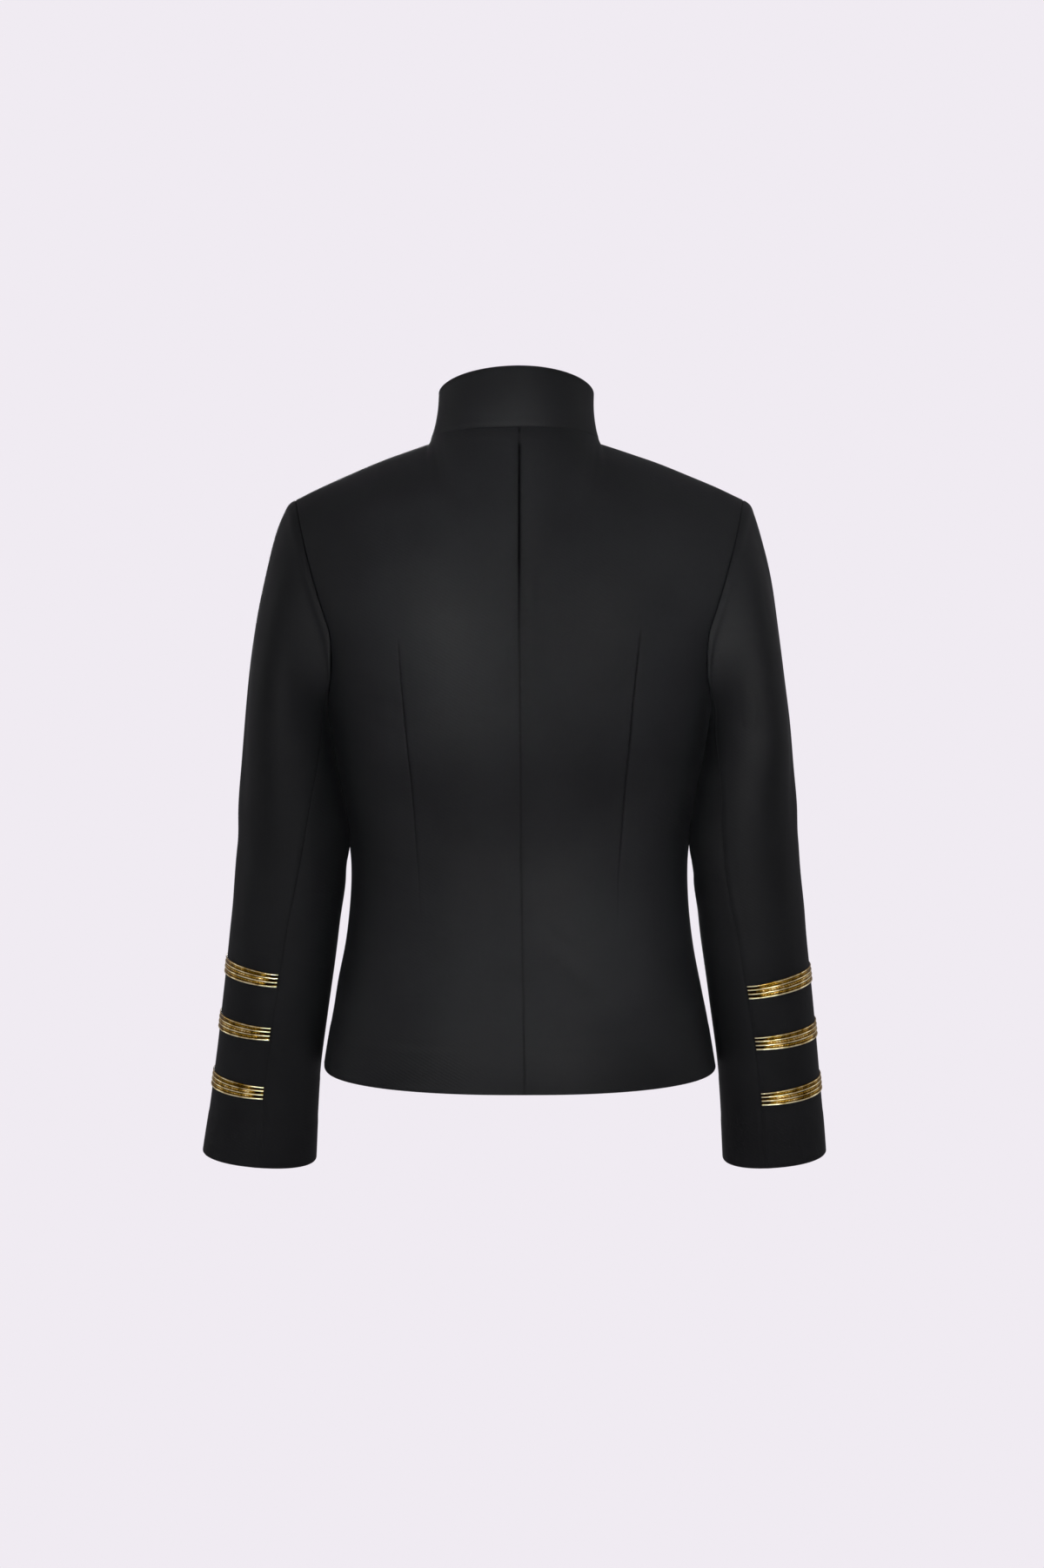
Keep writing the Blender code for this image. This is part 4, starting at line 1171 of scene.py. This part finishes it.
def gilt_wire():
    """Gilt wire spun round a cotton core, then twisted and laid as cords. Its colour follows the height of
    the cords and carries painted light: a painted highlight, near white, on the crests, and painted shade,
    dark brown, in the furrows."""
    made, tree, shader = new_material("gilt wire braid")
    # Height of the cords, with the painted end highlight added on the crests
    stands = add(tree, "Attribute", {"attribute_name": "height_painted_light"})
    place = add(tree, "TexCoord")
    # Single wires: 0.2 mm thick in the real braid, drawn as specks of some 1 mm
    wires = {"Scale": noise_scale(1.111), "Detail": 2.0}
    wear = add(tree, "TexNoise", wires, {"Vector": (place, "Object")})
    bright = {"operation": "MULTIPLY_ADD", 1: 0.35, 2: -0.17}
    lift = add(tree, "Math", bright, {0: (wear, "Fac")})
    # Patches of some 7 mm where the gilding has gone browner
    aged = {"Scale": noise_scale(6.667), "Detail": 1.0}
    patch = add(tree, "TexNoise", aged, {"Vector": (place, "Object")})
    brown = add(tree, "Math", {"operation": "MULTIPLY_ADD", 1: 0.7, 2: -0.38}, {0: (patch, "Fac")})
    both = add(tree, "Math", {"operation": "ADD"}, {0: (lift, "Value"), 1: (brown, "Value")})
    level = add(tree, "Math", {"operation": "ADD"}, {0: (stands, "Fac"), 1: (both, "Value")})
    # Height to colour, with painted light in it: painted shade, nearly black, in the furrows, gold on the
    # flanks, painted highlight, near white, on the crests
    gold = add(tree, "ValToRGB", {}, {"Fac": (level, "Value")})
    stops = gold.color_ramp.elements
    stops[0].position, stops[0].color = 0.1, linear("#150d03")
    stops[1].position, stops[1].color = 0.8, linear("#fff6cd")
    for position, code in ((0.3, "#63480c"), (0.52, "#bf9434")):
        stops.new(position).color = linear(code)
    tree.links.new(gold.outputs["Color"], shader.inputs["Base Color"])
    shader.inputs["Metallic"].default_value = 1.0
    shader.inputs["Roughness"].default_value = 0.3
    return made


def gilt_metal():
    """Stamped brass with a thin gilding, polished: warm, clear reflections with faint hairlines."""
    made, tree, shader = new_material("gilt brass")
    place = add(tree, "TexCoord")
    # Wear from cleaning, in patches of some 3 mm
    worn = {"Scale": noise_scale(2.857), "Detail": 3.0}
    rub = add(tree, "TexNoise", worn, {"Vector": (place, "Object")})
    dull = add(tree, "MapRange", {"To Min": 0.2, "To Max": 0.34}, {"Value": (rub, "Fac")})
    tree.links.new(dull.outputs["Result"], shader.inputs["Roughness"])
    shader.inputs["Base Color"].default_value = linear("#dcb765")
    shader.inputs["Metallic"].default_value = 1.0
    return made


WOOL = black_wool()
GILT_WIRE = gilt_wire()
GILT_METAL = gilt_metal()

for arm in (1, -1):
    trunk_piece("back", arm)
    trunk_piece("front", arm)
    sleeve_piece("top", arm)
    sleeve_piece("under", arm)
    for number in range(len(BRAIDS[arm]["level"])):
        build_braid(arm, number)
collar_piece()
build_buttons()

# ---------------------------------------------------------------- floor, light and camera

PALE = "#f0ebf2"
FLOOR = -1.45
FLOOR_RADIUS = 1.5
FLOOR_SIDES = 96
FLOOR_GLOW = 0.5
WORLD_LIGHT = 0.34
WORLD_SEEN = 1.0

# Soft spots of light on the back, from lights that stand in a closer row behind it: x and height of what
# each is on, and its power
SPOT_CLOSER = 0.8
SPOT_FAR = 2.5
SPOT_LOWER = 0.15
SPOT_DEPTH = 0.1
SPOT_SIZE = 0.12
SPOT_SPREAD_DEG = 6.5
BACK_LIGHTS = table(
    "across height power",
    [(-0.14, -0.07, 0.115), (-0.14, -0.23, 0.078), (0.05, -0.07, 0.08), (0.05, -0.23, 0.063),
     (0.14, -0.07, 0.04), (0.14, -0.23, 0.033), (0.0, 0.03, 0.05), (-0.09, -0.42, 0.076),
     (0.09, -0.42, 0.039), (-0.07, -0.52, 0.027), (0.07, -0.52, 0.041)],
)

# The other lights: name, place, aim, size, power and spread in degrees
MIDDLE = (0.0, 0.0, -0.28)
LIGHTS = [
    ("soft light on a cuff", (0.45, 2.4, 0.25), (0.25, 0.0, -0.55), 0.35, 0.19, 13),
    ("soft light on a cuff", (-0.45, 2.4, 0.25), (-0.25, 0.0, -0.55), 0.35, 0.19, 13),
    ("wide light behind", (0.0, 2.5, 0.1), (0.0, 0.0, -0.3), 1.4, 1.9, 120),
    ("low side light behind", (2.3, 1.0, 0.2), MIDDLE, 1.0, 0.75, 120),
    ("soft light in front", (0.3, -2.5, 0.3), MIDDLE, 1.1, 12, 90),
    ("side light", (-2.5, -0.5, 0.5), MIDDLE, 1.2, 2.5, 120),
    ("other side light", (2.5, -0.5, 0.5), MIDDLE, 1.2, 2.5, 120),
]

# Camera: level with the middle of the picture, behind the jacket. A picture point is 0.775 mm of it.
CAMERA_PLACE = (-0.002325, 2.4, -0.30225)
FILM_HIGH = 36.0
LENS = 61.86


def pale_floor():
    """Matt disc under the jacket. The camera sees it nearly as pale as the backdrop, and it throws no light
    of its own."""
    made, tree, shader = new_material("pale matt floor")
    shader.inputs["Base Color"].default_value = linear("#e9e4ea")
    shader.inputs["Roughness"].default_value = 0.9
    shader.inputs["Emission Color"].default_value = linear(PALE)
    seen = add(tree, "LightPath")
    glow = add(tree, "Math", {"operation": "MULTIPLY", 1: FLOOR_GLOW}, {0: (seen, "Is Camera Ray")})
    tree.links.new(glow.outputs["Value"], shader.inputs["Emission Strength"])
    mesh = bpy.data.meshes.new("floor")
    turn = np.arange(FLOOR_SIDES) * 2 * math.pi / FLOOR_SIDES
    verts = [(FLOOR_RADIUS * math.cos(a), FLOOR_RADIUS * math.sin(a), FLOOR) for a in turn]
    mesh.from_pydata(verts, [], [list(range(FLOOR_SIDES))])
    mesh.materials.append(made)
    floor = bpy.data.objects.new("floor", mesh)
    bpy.context.scene.collection.objects.link(floor)


def area_light(name, place, aim, size, power, spread_deg):
    """Round light that looks from a place to an aim."""
    lamp = bpy.data.lights.new(name, "AREA")
    lamp.shape = "DISK"
    lamp.size = size
    lamp.energy = power
    lamp.spread = math.radians(spread_deg)
    made = bpy.data.objects.new(name, lamp)
    made.location = place
    way = np.array(aim) - np.array(place)
    flat = math.hypot(way[0], way[1])
    made.rotation_euler = (math.atan2(flat, -way[2]), 0.0, math.atan2(-way[0], way[1]))
    bpy.context.scene.collection.objects.link(made)


def studio():
    """Pale backdrop, which lights the jacket less than it shows, and the lights."""
    world = bpy.data.worlds.new("studio")
    world.use_nodes = True
    tree = world.node_tree
    backdrop = tree.nodes["Background"]
    backdrop.inputs["Color"].default_value = linear(PALE)
    seen = add(tree, "LightPath")
    strengths = {"To Min": WORLD_LIGHT, "To Max": WORLD_SEEN}
    glow = add(tree, "MapRange", strengths, {"Value": (seen, "Is Camera Ray")})
    tree.links.new(glow.outputs["Result"], backdrop.inputs["Strength"])
    bpy.context.scene.world = world
    for x, z, power in zip(*BACK_LIGHTS.values()):
        place = (SPOT_CLOSER * x, SPOT_FAR, z - SPOT_LOWER)
        area_light("soft light on the back", place, (x, SPOT_DEPTH, z), SPOT_SIZE, power, SPOT_SPREAD_DEG)
    for light in LIGHTS:
        area_light(*light)


def photo_camera():
    """Camera that gives the photograph's frame."""
    lens = bpy.data.cameras.new("camera")
    lens.sensor_fit = "VERTICAL"
    lens.sensor_height = FILM_HIGH
    lens.lens = LENS
    camera = bpy.data.objects.new("camera", lens)
    camera.location = CAMERA_PLACE
    camera.rotation_euler = (math.pi / 2, 0.0, math.pi)
    bpy.context.scene.collection.objects.link(camera)
    bpy.context.scene.camera = camera


pale_floor()
studio()
photo_camera()
bpy.context.scene.view_settings.view_transform = "Standard"
